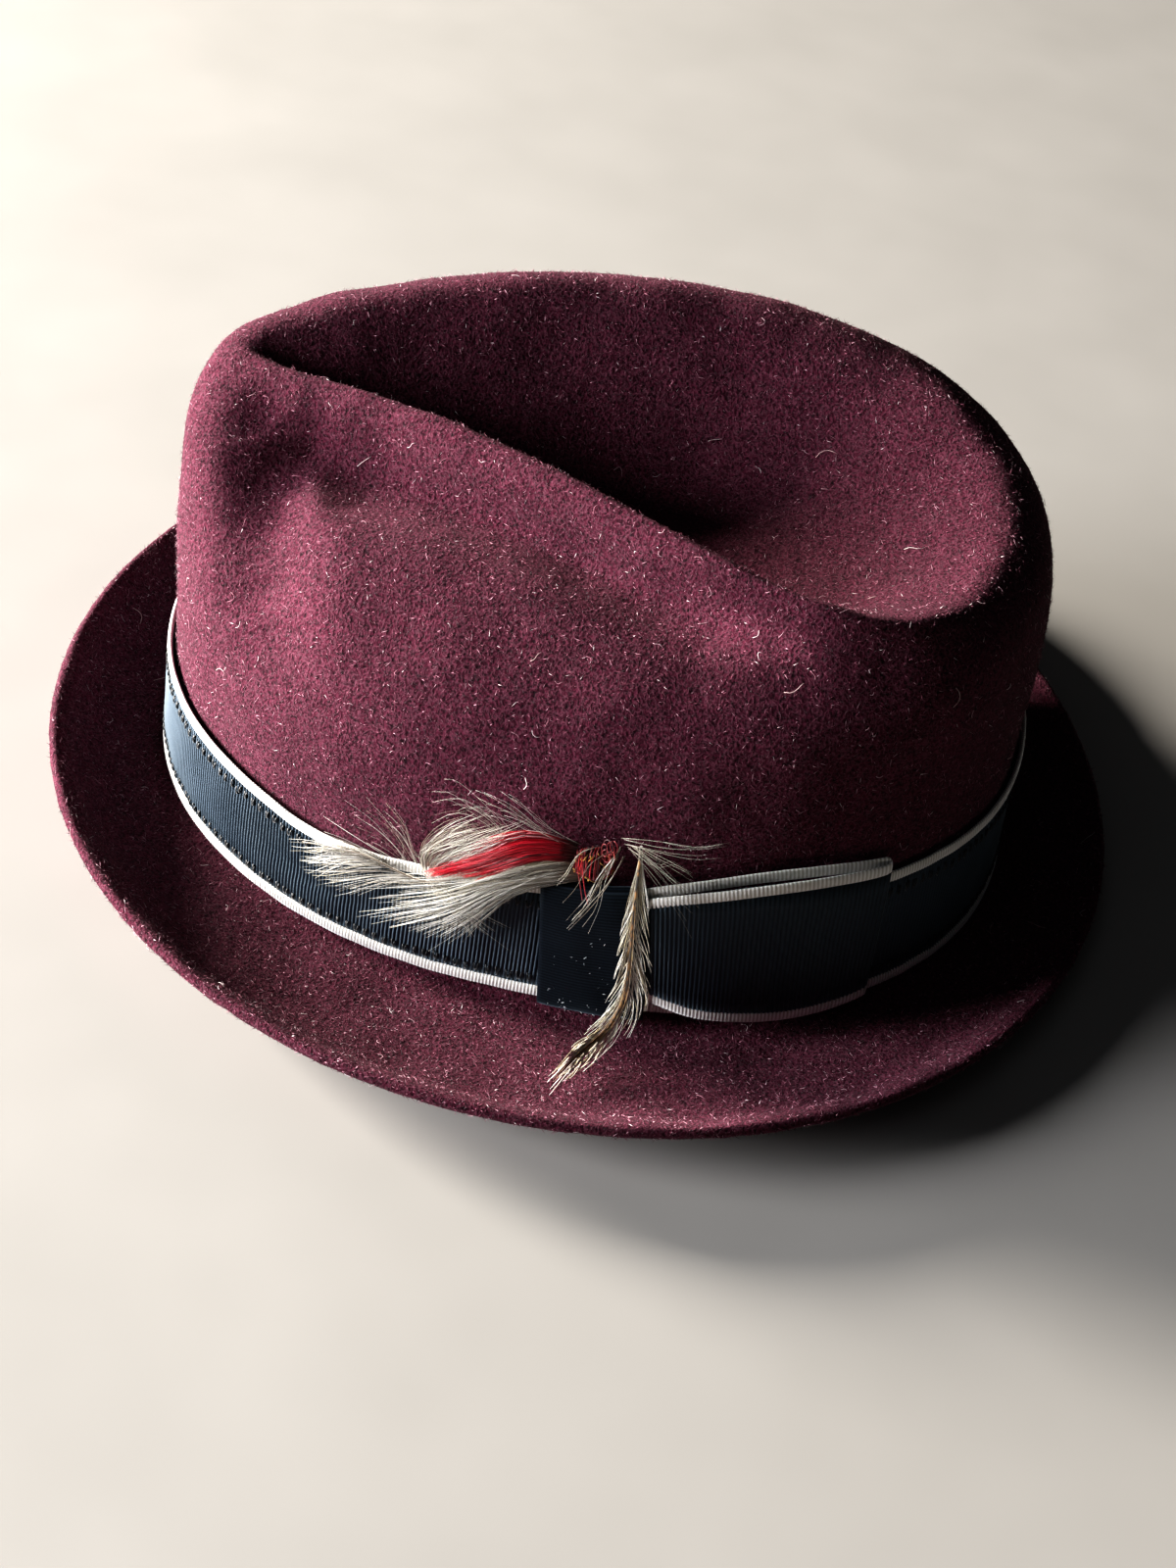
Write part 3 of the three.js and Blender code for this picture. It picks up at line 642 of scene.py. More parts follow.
def bandFace(angles, shares):    # height and stand-off of the ribbon's outer face, without its ribs
    foot, head = bandHeights(angles)
    heights = foot + (head - foot) * shares
    middle = (shares - 0.5) * 2
    turn = degreesFromFront(angles)
    atFront = np.exp(-((turn - frontLeft) / ribbon["bulgeWidth"]) ** 2)
    bulge = ribbon["frontBulge"] * atFront * (1 - middle ** 2)
    depth, at, width, share, slant, tall = ribbon["dent"]
    dentLine = share + slant * (at + 4 - turn)
    dent = depth * np.exp(-((shares - dentLine) / tall) ** 2) * np.exp(-((turn - at) / width) ** 2)
    base = feltPoint(placeOf("bandMiddle"), angles)
    probe = np.stack(np.broadcast_arrays(base[..., 0], base[..., 1], heights), -1)
    pucker = ribbon["pucker"] * (1 + ripple(probe, 14, 21) + 0.8 * middle ** 2 * ripple(probe, 4.5, 22))
    return heights, ribbon["gap"] + ribbon["thickness"] - ribbon["ribDepth"] + bulge - dent + pucker


def buildBand(material):
    angles, total = evenAngles(ribbon["ribPitch"], ribbon["columnsPerRib"])
    shares = np.linspace(0.085, 0.915, ribbon["rows"])[:, None]
    heights, smooth = bandFace(angles, shares)
    wave = ribWave(len(angles), ribbon["columnsPerRib"])
    around = np.broadcast_to(angles, heights.shape)
    outer = offAtHeight(around, heights, smooth + ribbon["ribDepth"] * wave)
    ends = [0, len(shares) - 1]
    inner = offAtHeight(around[ends], heights[ends], smooth[ends] - ribbon["clothThickness"])
    points, faces = shellOf(outer, inner, closedColumns=True)
    tint = greyTint(np.broadcast_to(wave, (len(points) // len(angles), len(angles))))
    piece = makePiece("bandRibbon", points * mm, faces, material, "band_ribbon", tint)
    return piece, total


stitch = {
    "pitch": 2.45, "length": 1.9, "radius": 0.23, "tint": "#020303", "rows": (0.165, 0.815),
    "lean": 0.004, "arch": 0.28, "ribbonHeight": 30,    # lean in radians, arch over the ribs
    "scatter": (0.0012, 0.001, 0.006),    # of its place, its lean and its height
}


def buildStitches(material):
    # Small dark tufts of thread beside both edgings, each a slanting pair of stitches.
    angles, _ = evenAngles(stitch["pitch"], 1)
    t = np.linspace(-0.5, 0.5, 4)
    strands = []
    place, tilt, rise = stitch["scatter"]
    for share in stitch["rows"]:
        for lean in (-1, 1):
            start = angles + dice.normal(size=len(angles)) * place
            turned = start[:, None] + lean * stitch["lean"] * (t + 0.5)
            turned = turned + dice.normal(size=(len(angles), 1)) * tilt
            slant = share + t * stitch["length"] / stitch["ribbonHeight"]
            heights, off = bandFace(turned, slant + dice.normal(size=(len(angles), 1)) * rise)
            arch = ribbon["ribDepth"] + 0.02 + stitch["arch"] * (1 - (2 * t) ** 2)
            strands.append(offAtHeight(turned, heights, off + arch))
    paths = np.concatenate(strands)
    radii = np.full(paths.shape[:2], stitch["radius"])
    group = (paths, radii, unit(paths * [1, 1, 0]), np.array(toLinear(stitch["tint"])[:3]), 3)
    return joinStrands("bandStitches", [group], material, "band_ribbon")


def edgingSection(count):
    # Its ribs, the heights of its rounded section, and its depths as shares of half its thickness.
    around = evenTurns(edging["sides"])
    wave = ribWave(count, edging["columnsPerRib"])
    swell = 1 - (edging["ribDepth"] / edging["thickness"] * 2) * (1 - wave)
    up = signedPower(np.sin(around), edging["squareness"])[:, None] * edging["height"] / 2
    return wave, up, signedPower(np.cos(around), edging["squareness"])[:, None] * swell


def edgingRound(name, side, node, material):
    share, standOff, more, width = edging[side]
    angles, _ = evenAngles(edging["ribPitch"], edging["columnsPerRib"])
    foot, head = bandHeights(angles)
    centre = foot + (head - foot) * share
    wave, up, out = edgingSection(len(angles))
    base = feltPoint(placeOf("bandMiddle"), angles)
    sway = edging["sway"] * ripple(base, 9, 31)
    stand = standOff + more * np.exp(-((degreesFromFront(angles) - frontLeft) / width) ** 2)
    shape = out.shape
    distance = ribbon["gap"] + edging["thickness"] / 2 * (1 + out) + stand
    grid = offAtHeight(np.broadcast_to(angles, shape), centre + up + sway, distance)
    faces = [gridFaces(*shape, closedRows=True, closedColumns=True)[:, ::-1]]
    tint = greyTint(np.broadcast_to(wave, shape))
    return makePiece(name, grid.reshape(-1, 3) * mm, faces, material, node, tint)


# The flat bow and its knot.
bowEdges = {    # y: lower and upper edge
    24: (12, 40), 32: (11, 43), 41: (8, 45.6), 52: (6.6, 47.8), 64: (6, 48.2), 79: (6.4, 46.4),
}
bow = {
    # shade dims the ribbon's rib colour on the bow: painted shade, for the shadow that the bow lies in
    "start": 30, "end": 77, "thickness": 0.5, "gap": 0.1, "rows": 11, "steps": 80, "shade": 0.6,
    "back": 2.2, "pinch": 3.5, "puff": 1.8, "fold": 0.02, "softness": 0.22,    # its two layers' stand-off
}
knotCorners = {    # y at the front and back, height at the front and back
    "foot": (8.2, 31.6, 4.9, 4.7), "head": (5.4, 28.2, 41.2, 43.4),
}
knot = {
    # shade darkens the knot's ribbon colour: painted shade, for the shadow that the knot lies in
    "columns": 22, "columnsPerRib": 4, "ribPitch": 0.85, "ribDepth": 0.18, "thickness": 0.5, "shade": 0.42,
    "height": 37, "closest": 1.6, "farthest": 4.75, "sag": 0.35,
    "outline": (    # share of its height and stand-off, from under its head over it to under its foot
        (0.8, 1.6), (0.97, 1.6), (1.0, 2.2), (1.0, 3.2), (0.975, 4.1), (0.9, 4.6), (0.75, 4.75), (0.5, 4.6),
        (0.25, 4.7), (0.1, 4.6), (0.03, 4.2), (0.0, 3.2), (0.0, 2.3), (0.03, 1.7), (0.2, 1.6)),
    "specks": 90, "speckTints": ("#dfe3e6", "#8f979c", "#ffffff"), "speckShares": (0.4, 0.4, 0.2),
}
bowFootHeight = cubicThrough(list(bowEdges), [edge[0] for edge in bowEdges.values()])
bowHeadHeight = cubicThrough(list(bowEdges), [edge[1] for edge in bowEdges.values()])


def knotPlace(along, up):
    corners = zip(knotCorners["foot"], knotCorners["head"])
    front, back, zFront, zBack = (np.asarray(foot) + (np.asarray(head) - foot) * up for foot, head in corners)
    return front + (back - front) * along, zFront + (zBack - zFront) * along


def knotLie(along):    # its front edge lies closer to the band
    return 1 - 0.36 * (1 - along) ** 3 - 0.1 * along ** 6


def bowRoute(pitch, perRib):
    # Share of its length and stand-off in equal steps: back along the band, round the fold and forward.
    turn = np.linspace(-math.pi / 2, math.pi / 2, 13)[1:-1]
    radius = (bow["pinch"] - bow["back"]) / 2
    straight = np.linspace(0, 1, bow["steps"])
    front = bow["pinch"] + bow["puff"] * np.sin(math.pi * straight[::-1]) ** 0.8
    along = np.concatenate([straight, 1 + bow["fold"] * np.cos(turn), straight[::-1]])
    fold = bow["back"] + radius * (1 + np.sin(turn))
    off = np.concatenate([np.full(bow["steps"], bow["back"]), fold, front])
    length = bow["end"] - bow["start"]
    reach = np.concatenate([[0], np.cumsum(np.hypot(np.diff(along) * length, np.diff(off)))])
    count = round(reach[-1] / pitch) * perRib + 1
    steps = np.linspace(0, reach[-1], count)
    return np.interp(steps, reach, along), np.interp(steps, reach, off), reach[-1]


def bowGrid(shares, pitch, perRib, extraOff=0.0):
    along, off, length = bowRoute(pitch, perRib)
    startY, _ = knotPlace(1, shares)
    y = startY + bow["gap"] + (bow["end"] - startY - bow["gap"]) * along
    heights = bowFootHeight(y) + (bowHeadHeight(y) - bowFootHeight(y)) * shares
    centre = offAtHeight(angleAt(y), heights, off + extraOff)
    normals = unit(np.cross(np.gradient(centre, axis=0), np.gradient(centre, axis=1)))
    return centre, normals, off, length


def buildBow(material):
    shares = np.linspace(0.07, 0.93, bow["rows"])[:, None]
    probe, _, off, _ = bowGrid(shares, ribbon["ribPitch"], ribbon["columnsPerRib"])
    outerLayer = np.clip((off - bow["pinch"]) / 0.5, 0, 1)
    softness = bow["softness"] * ripple(probe, 17, 41) * outerLayer
    centre, normals, off, length = bowGrid(shares, ribbon["ribPitch"], ribbon["columnsPerRib"], softness)
    wave = ribWave(centre.shape[1], ribbon["columnsPerRib"])
    relief = (ribbon["ribDepth"] * (wave - 0.5))[:, None]
    half = bow["thickness"] / 2
    points, faces = shellOf(centre + normals * (half + relief), centre - normals * (half + relief))
    # painted shade: the bow's ribs coloured darker than the band's
    tint = greyTint(np.concatenate([np.broadcast_to(wave * bow["shade"], centre.shape[:2])] * 2))
    return makePiece("bowLoop", points * mm, faces, material, "bow_loop", tint), length


def edgingOnBow(name, share, node, material, backRise=0.0, droop=0.0):
    # backRise lifts it on the layer behind, so that both lie in sight; droop lowers it at its front end.
    shares = np.array([[share - 0.02], [share], [share + 0.02]])
    centre, normals, off, _ = bowGrid(shares, edging["ribPitch"], edging["columnsPerRib"])
    isBack = np.clip((bow["pinch"] - off) / (bow["pinch"] - bow["back"]), 0, 1)
    share = np.linspace(0, 1, centre.shape[1])
    centre[..., 2] += backRise * isBack - droop * np.clip((share - 0.86) / 0.14, 0, 1) ** 2
    path, normal = centre[1], normals[1]
    upward = unit(centre[2] - centre[0])
    wave, up, out = edgingSection(len(path))
    grid = path + up[..., None] * upward + out[..., None] * edging["halfOnBow"] * normal
    first = np.arange(grid.shape[0]) * len(path)
    faces = [gridFaces(*grid.shape[:2], closedRows=True), [first], [first[::-1] + len(path) - 1]]
    tint = greyTint(np.broadcast_to(wave, grid.shape[:2]))
    return makePiece(name, grid.reshape(-1, 3) * mm, faces, material, node, tint)


def buildKnot(material):
    line = np.array(knot["outline"])
    smoothUp, smoothOff = (cubicThrough(np.arange(len(line)), line[:, k]) for k in (0, 1))
    dense = np.linspace(0, len(line) - 1, 600)
    gaps = np.hypot(np.diff(smoothUp(dense)) * knot["height"], np.diff(smoothOff(dense)))
    reach = np.concatenate([[0], np.cumsum(gaps)])
    count = round(reach[-1] / knot["ribPitch"]) * knot["columnsPerRib"] + 1
    steps = np.interp(np.linspace(0, reach[-1], count), reach, dense)
    along = np.linspace(0, 1, knot["columns"])
    up = np.broadcast_to(smoothUp(steps)[:, None], (count, len(along)))
    y, z = knotPlace(along, up)
    off = knot["closest"] + (smoothOff(steps)[:, None] - knot["closest"]) * knotLie(along)
    bend = knot["sag"] * np.sin(math.pi * along) * np.clip(up, 0, 1)    # the ribs sag a little
    centre = offAtHeight(angleAt(y), z - bend, off)
    centre = centre + 0.1 * ripple(centre, 9, 51)[..., None] * unit(centre * [1, 1, 0])
    normals = unit(np.cross(np.gradient(centre, axis=1), np.gradient(centre, axis=0)))
    wave = ribWave(count, knot["columnsPerRib"])[:, None]
    half = knot["thickness"] / 2
    relief = knot["ribDepth"] * (wave - 0.5)[..., None]
    points, faces = shellOf(centre + normals * (half + relief), centre - normals * half)
    # painted shade: the knot's ribs coloured darker than the band's
    tint = greyTint(np.concatenate([np.broadcast_to(wave * knot["shade"], centre.shape[:2])] * 2))
    piece = makePiece("bowKnot", points * mm, faces, material, "bow_knot", tint)
    return piece, reach[-1]


# The feathers: a cream plume, a red hackle and a hanging feather, bound with thread.
feather = {"steps": 9, "sides": 3, "taper": 0.25, "crookedness": 0.2}


def smoothPaths(controls, steps):    # an even curve through each strand's control points (strands, points, 3)
    count = controls.shape[1]
    before, after = 2 * controls[:, :1] - controls[:, 1:2], 2 * controls[:, -1:] - controls[:, -2:-1]
    padded = np.concatenate([before, controls, after], 1)
    share = np.linspace(0, count - 1, steps)
    i = np.minimum(share.astype(int), count - 2)
    t = (share - i)[:, None]
    p0, p1, p2, p3 = (padded[:, i + k] for k in range(4))
    bent = (2 * p0 - 5 * p1 + 4 * p2 - p3) * t ** 2 + (3 * p1 - p0 - 3 * p2 + p3) * t ** 3
    return 0.5 * (2 * p1 + (p2 - p0) * t + bent)


def onSide(controls):    # from y, height and stand-off on the wearer's left to places in space
    return offAtHeight(angleAt(controls[..., 0]), controls[..., 1], controls[..., 2])


def fanControls(guides, count, loose, within=0.4, perLock=3, rootLoose=0.3):
    # Barbs between neighbouring guides. They part more and more towards their tips, in locks of a few barbs.
    guides = np.array(guides, float)
    locks = max(1, count // perLock)
    share = dice.random(locks) * (len(guides) - 1)
    i = np.minimum(share.astype(int), len(guides) - 2)
    t = (share - i)[:, None, None]
    parting = np.array([rootLoose, 0.6, 1.2, 2.1])[:, None] * np.array([1, 1, 0.35])
    apart = np.array([0.5, 1, 1.6, 2.4])[:, None] * np.array([1, 1, 0.4])
    lock = guides[i] * (1 - t) + guides[i + 1] * t + dice.normal(size=(locks, 1, 3)) * parting * loose
    controls = lock[dice.integers(locks, size=count)] + dice.normal(size=(count, 1, 3)) * apart * within
    controls += dice.normal(size=(count, 4, 3)) * feather["crookedness"]
    reach = dice.uniform(0.45, 1.0, (count, 1, 1))    # shorter and longer barbs
    controls[:, 3:] = controls[:, 2:3] * (1 - reach) + controls[:, 3:] * reach
    return controls


# the darker root colour is painted shade where the barbs crowd together at their roots
def tipTints(count, root, codes, shares):    # each barb goes from a root colour to one of the tip colours
    ends = pickTints(codes, shares, count)[:, None] * dice.uniform(0.3, 1, (count, 1, 1)) ** 0.5
    t = (np.linspace(0, 1, feather["steps"]) ** 0.6)[:, None]
    start = np.array(toLinear(root)[:3]) * dice.uniform(0.6, 1.4, (count, 1, 1))
    return start * (1 - t) + ends * t


def barbs(controls, radius, root, codes, shares):    # three-sided tapering strands, ready to join
    paths = smoothPaths(onSide(controls), feather["steps"])
    taper = 1 - (1 - feather["taper"]) * np.linspace(0, 1, feather["steps"]) ** 1.5
    radii = radius * dice.uniform(0.65, 1.25, (len(paths), 1)) * taper
    tints = tipTints(len(paths), root, codes, shares)
    return paths, radii, unit(paths * [1, 1, 0]), tints, feather["sides"]


plume = {
    # The root colour is painted shade at the crowded roots; the near-black tint gives dark barbs that stand
    # for shaded gaps: painted shade.
    "cream": ("#f5efdc", "#fffdf4", "#dccfab", "#8f8062", "#2f251d"),
    "shares": (0.28, 0.38, 0.08, 0.09, 0.17), "root": "#62564a", "radius": 0.1,
    # Fans of barbs: how many, how loose and how thick, then guides of four places from the root out, each
    # its y, height and stand-off.
    "fans": {
        "lower": (200, 1.4, 0.85, (
            ((14, 45.5, 3.6), (1, 38.5, 5), (-7, 29, 5.4), (-13, 19, 5)),
            ((14, 46.5, 3.8), (-1, 40.5, 5.3), (-12, 28.5, 5.8), (-25, 17.5, 4.8)),
            ((14, 47.5, 4), (-3, 41, 5.4), (-15, 32, 5.8), (-34, 19, 4.8)),
            ((14, 48.5, 4.2), (-3, 42.5, 5.6), (-14, 36, 5.8), (-26, 29, 5)))),
        "under": (65, 0.9, 0.8, (
            ((13, 50, 4.4), (4, 48, 5.6), (-4, 43.5, 6), (-12, 36, 5.6)),
            ((13, 49, 4.2), (4, 46, 5.4), (-4, 41, 5.8), (-14, 32, 5.4)))),
        "crossing": (30, 1.0, 0.75, (
            ((-20, 35, 4.5), (-15.5, 31, 6), (-11, 27, 6), (-8, 22.5, 5)),
            ((-18, 35.5, 4.5), (-13, 33, 6), (-8, 29.5, 6), (-4.5, 26.5, 5)))),
        "tip": (120, 1.0, 0.8, (
            ((-19, 32.5, 4), (-27, 29.5, 4.6), (-34, 24, 4.6), (-41, 17.5, 4)),
            ((-25, 33, 4), (-32, 29.5, 4.6), (-38.5, 25, 4.6), (-45, 20.5, 4)),
            ((-32, 33.8, 4), (-38, 31, 4.5), (-42.5, 28, 4.4), (-47.5, 24.5, 3.8)),
            ((-38, 33, 4), (-43, 30.5, 4.4), (-46.5, 28, 4.3), (-50, 25, 3.8)),
            ((-33, 34.5, 4), (-38, 34.3, 4.4), (-43, 32.6, 4.3), (-49, 29.5, 3.8)),
            ((-24, 34.5, 4), (-29, 36.5, 4.6), (-34, 37.5, 4.6), (-40, 37, 4)))),
        "upper": (160, 0.7, 0.8, (
            ((-20.5, 36, 4.3), (-20.5, 44, 6), (-16.5, 49.5, 6.5), (-9, 53.5, 6)),
            ((-19, 36, 4.5), (-17.5, 44, 6.3), (-12, 50, 6.8), (-3, 54.5, 6)),
            ((-17.5, 36, 4.5), (-14.5, 43.5, 6.3), (-9, 49, 6.8), (2, 54.5, 6)),
            ((-16, 36.5, 4.5), (-12, 42, 6), (-6, 47, 6.3), (4, 52.5, 5.8)))),
        "wisps": (18, 1.0, 0.42, (
            ((-22, 33.5, 4), (-25, 38.5, 5), (-30, 42, 5), (-38, 42.5, 4.5)),
            ((-21, 35, 4), (-24, 41, 5.5), (-28, 46, 5.5), (-35, 49, 5)),
            ((-20.5, 36, 4), (-22, 43, 5.5), (-23, 48, 6), (-26, 53, 5.5)))),
        "hairs": (12, 0.9, 0.42, (
            ((-6, 53, 6.2), (-10, 55.5, 7), (-14.5, 55.5, 7), (-20, 52, 6)),
            ((-3, 54, 6.4), (-7.5, 58, 7.5), (-13, 59, 7.5), (-18.5, 56.5, 6)))),
        "flyaway": (12, 0.9, 0.42, (
            ((6, 54, 6), (1.5, 57.5, 7.5), (-5, 59.5, 8), (-11, 59, 7)),
            ((12, 55, 6), (8, 57, 7.5), (2, 60, 8), (-6, 62, 7.5)))),
    },
    "looseHairs": ("wisps", "hairs", "flyaway"), "hairShares": (0.34, 0.3, 0.1, 0.08, 0.18),
    "quillRadius": (0.35, 0.12), "quillTint": "#4b3a2a",
    "quill": (
        (-14, 36, 5), (-19.5, 33.8, 5.2), (-25, 33.6, 5), (-33.5, 34.3, 4.8), (-41, 32.3, 4.6),
        (-49.5, 28.5, 4)),
}


def buildPlume(material):
    look, groups = plume, []
    for key, (count, loose, thin, guides) in look["fans"].items():
        isLoose = key in look["looseHairs"]
        perLock, rootLoose = (1, 1.8) if isLoose else (2, 0.5)
        controls = fanControls(guides, count, loose, 0.75, perLock, rootLoose)
        shares = look["hairShares"] if isLoose else look["shares"]
        groups.append(barbs(controls, look["radius"] * thin, look["root"], look["cream"], shares))
    spine = smoothPaths(onSide(np.array([look["quill"]], float)), 30)
    radii, tint = np.linspace(*look["quillRadius"], 30)[None], np.array(toLinear(look["quillTint"])[:3])
    groups.append((spine, radii, unit(spine * [1, 1, 0]), tint, 6))
    joinStrands("creamPlume", groups, material, "feather_plume")


hackle = {
    # root: painted shade at the barbs' roots by the binding
    "radius": 0.125, "root": "#2c0209",
    "reds": ("#da0c26", "#f4263f", "#8a0416", "#f58a90", "#f6d9d4"),
    # for each fan how many and how loose, then its guides; the first lies close and the second stands off
    "shares": ((0.46, 0.28, 0.2, 0.04, 0.02), (0.3, 0.25, 0.1, 0.22, 0.13)), "within": 0.22,
    "fans": (
        (330, 0.15, (
            ((13, 54.3, 6), (3, 53.6, 7.2), (-6, 49.3, 7.2), (-14.5, 42.3, 6.4)),
            ((13, 53.8, 6), (3, 53.2, 7.3), (-7, 47.9, 7.3), (-17.8, 38.4, 6.4)),
            ((13, 53, 6), (3, 52.4, 7.3), (-7, 46.8, 7.3), (-18.6, 36.8, 6.3)),
            ((12.5, 52.2, 6), (4, 51.3, 7.3), (-4, 47, 7.2), (-13, 40.3, 6.3)),
            ((12.5, 51, 6), (5, 50.4, 7), (-2.5, 46.4, 7), (-11, 38.6, 6)))),
        (34, 0.5, (
            ((13, 55, 6), (3, 55.6, 7), (-5, 52, 7), (-12.5, 46, 6.5)),
            ((13, 54.3, 6), (3, 54.2, 7.2), (-6, 50, 7.2), (-14.5, 42.5, 6.5)))),
    ),
}


def buildHackle(material):
    look, groups = hackle, []
    for (count, loose, guides), shares in zip(look["fans"], look["shares"]):
        controls = fanControls(guides, count, loose, look["within"])
        groups.append(barbs(controls, look["radius"], look["root"], look["reds"], shares))
    joinStrands("redHackle", groups, material, "feather_red")


drop = {
    # the quill, from the binding down over the knot and out on the brim: x, y, z
    "quill": (
        (87.4, 25.3, 58), (89.6, 26, 50), (92.6, 26.8, 41), (93.6, 27.9, 28), (94.4, 28, 18),
        (98, 25.6, 11.4), (104.5, 21.6, 9.6), (112, 18.6, 9.8)),
    "quillRadius": (0.34, 0.12), "quillTints": ("#1c1009", "#9a6c32"), "quillShares": (0.7, 0.3),
    "outward": (1, 0, 0.4), "count": 270, "radius": 0.13, "reach": (8, 17),
    "halfWidth": ((0, 0.5), (0.15, 1.6), (0.4, 3.3), (0.65, 3.9), (0.85, 3.2), (1, 1.6)),
    "splay": (0.8, 1.3),    # the back side's barbs stand off more
    "cream": ("#f6edd4", "#fffbf0", "#dbc99a", "#86724f"), "shares": (0.36, 0.38, 0.16, 0.1),
    "stripe": ("#c08a3a", "#8a5a20", "#2e1b0e", "#e6c98a"), "stripeShares": (0.34, 0.26, 0.25, 0.15),
    # strayRoot: painted shade at the stray barbs' roots
    "striped": 0.3, "strayRoot": "#5a4a3a", "strayTints": ("#f6edd4", "#fffbf0", "#8d7c66", "#2e221c"),
    # stray barbs: how many, what share of the radius, shares of their colours, then the guides
    "strays": (
        (15, 0.75, (0.5, 0.3, 0.1, 0.1), (
            ((21, 56, 6.3), (17.5, 50.5, 8), (16, 43, 8), (13, 33, 6.6)),
            ((23.5, 54, 6.6), (21, 49, 8.3), (18, 42, 8.3), (13.8, 30, 6.6)),
            ((17, 55, 6), (13.5, 53.5, 7), (12, 48.5, 7.5), (10, 43, 6.5)))),
        (20, 0.5, (0.04, 0.08, 0.2, 0.68), (
            ((26, 57, 7), (31, 56.4, 7.5), (36, 55.4, 7), (41, 53, 4.5)),
            ((24.5, 56, 8), (28, 51.5, 9), (32.5, 43, 9), (35, 32.5, 8)),
            ((22, 57.5, 5.5), (30, 58.5, 6.5), (38, 57.5, 6), (48, 59, 4)),
            ((25, 55, 5.5), (31, 53, 7), (35, 54, 6.5), (40, 51, 5))))),
}


def buildDrop(material):
    look, steps, count = drop, feather["steps"], drop["count"]
    quill = smoothPaths(np.array([look["quill"]], float), 80)[0]
    reach = np.concatenate([[0], np.cumsum(np.linalg.norm(np.diff(quill, axis=0), axis=-1))])
    outward = unit(np.array(look["outward"], float))

    def along(share):
        return np.stack([np.interp(share * reach[-1], reach, quill[:, k]) for k in range(3)], -1)

    side = np.where(dice.random((count, 1)) < 0.5, -1, 1)
    start = dice.uniform(0, 0.87, (count, 1))
    length = dice.uniform(*look["reach"], (count, 1)) / reach[-1]
    travel = np.linspace(0, 1, steps)
    share = np.minimum(start + length * travel, 1)
    past = np.maximum(start + length * travel - 1, 0) * reach[-1]    # some reach past the tip
    isStripe = dice.random((count, 1)) < look["striped"]
    splay = np.where(side > 0, look["splay"][1], look["splay"][0])
    widths = np.interp(share, *np.array(look["halfWidth"]).T) * splay
    opening = np.where(isStripe, 0.13, dice.uniform(0.2, 1.15, (count, 1)))
    forward = unit(along(np.minimum(share + 0.01, 1)) - along(share - 0.01))
    across = unit(np.cross(outward, forward))
    across = across * np.sign(across[..., 1:2])    # towards the back of the hat
    lift = np.where(isStripe, 0.75, dice.uniform(-0.4, 0.35, (count, 1)))[..., None] * travel[:, None]
    shape = 1 - (1 - travel) ** dice.uniform(1.05, 1.9, (count, 1))
    spread = across * (side * widths * opening * shape)[..., None]
    paths = along(share) + forward * past[..., None] + outward * lift + spread
    radii = look["radius"] * dice.uniform(0.7, 1.3, (count, 1)) * (1 - 0.7 * travel ** 1.5)
    # painted shade: the cream barbs darker near the quill, where they overlap
    cream = pickTints(look["cream"], look["shares"], count)[:, None] * (0.55 + 0.45 * travel[:, None] ** 0.6)
    speckled = pickTints(look["stripe"], look["stripeShares"], count * steps).reshape(count, steps, 3)
    tints = np.where(isStripe[..., None], speckled, cream)
    groups = [(paths, radii, outward, tints, feather["sides"])]
    dashes = pickTints(look["quillTints"], look["quillShares"], len(quill))
    radii = np.linspace(*look["quillRadius"], len(quill))[None]
    groups.append((quill[None] + outward * 0.45, radii, outward, dashes, 6))
    for strays, thin, shares, guides in look["strays"]:
        controls = fanControls(guides, strays, 0.5, perLock=1)
        groups.append(barbs(controls, look["radius"] * thin, look["strayRoot"], look["strayTints"], shares))
    joinStrands("hangingFeather", groups, material, "feather_drop")


binding = {
    "centre": (16.9, 49.6, 3.6), "radii": (4.4, 4.3, 2.3), "core": "#120407",
    "turns": 34, "threadRadius": 0.16,
    "reds": ("#7c0a14", "#b31a24", "#3c050b", "#c0584a"), "shares": (0.42, 0.2, 0.32, 0.06),
    "loops": 7, "loopRadius": 1.6, "loopThread": 0.11, "tailThread": 0.12,
    "flecks": 30, "fleckRadius": 0.11, "fleckTint": "#c99a3c",
    "tails": (
        ((13.2, 54.5, 6), (13.6, 51, 7), (14.6, 46, 7.3), (15, 41.5, 6.6)),
        ((14.4, 52.5, 6), (15, 49, 7.2), (15.6, 45, 7.4), (16.2, 40.5, 6.6))),
}


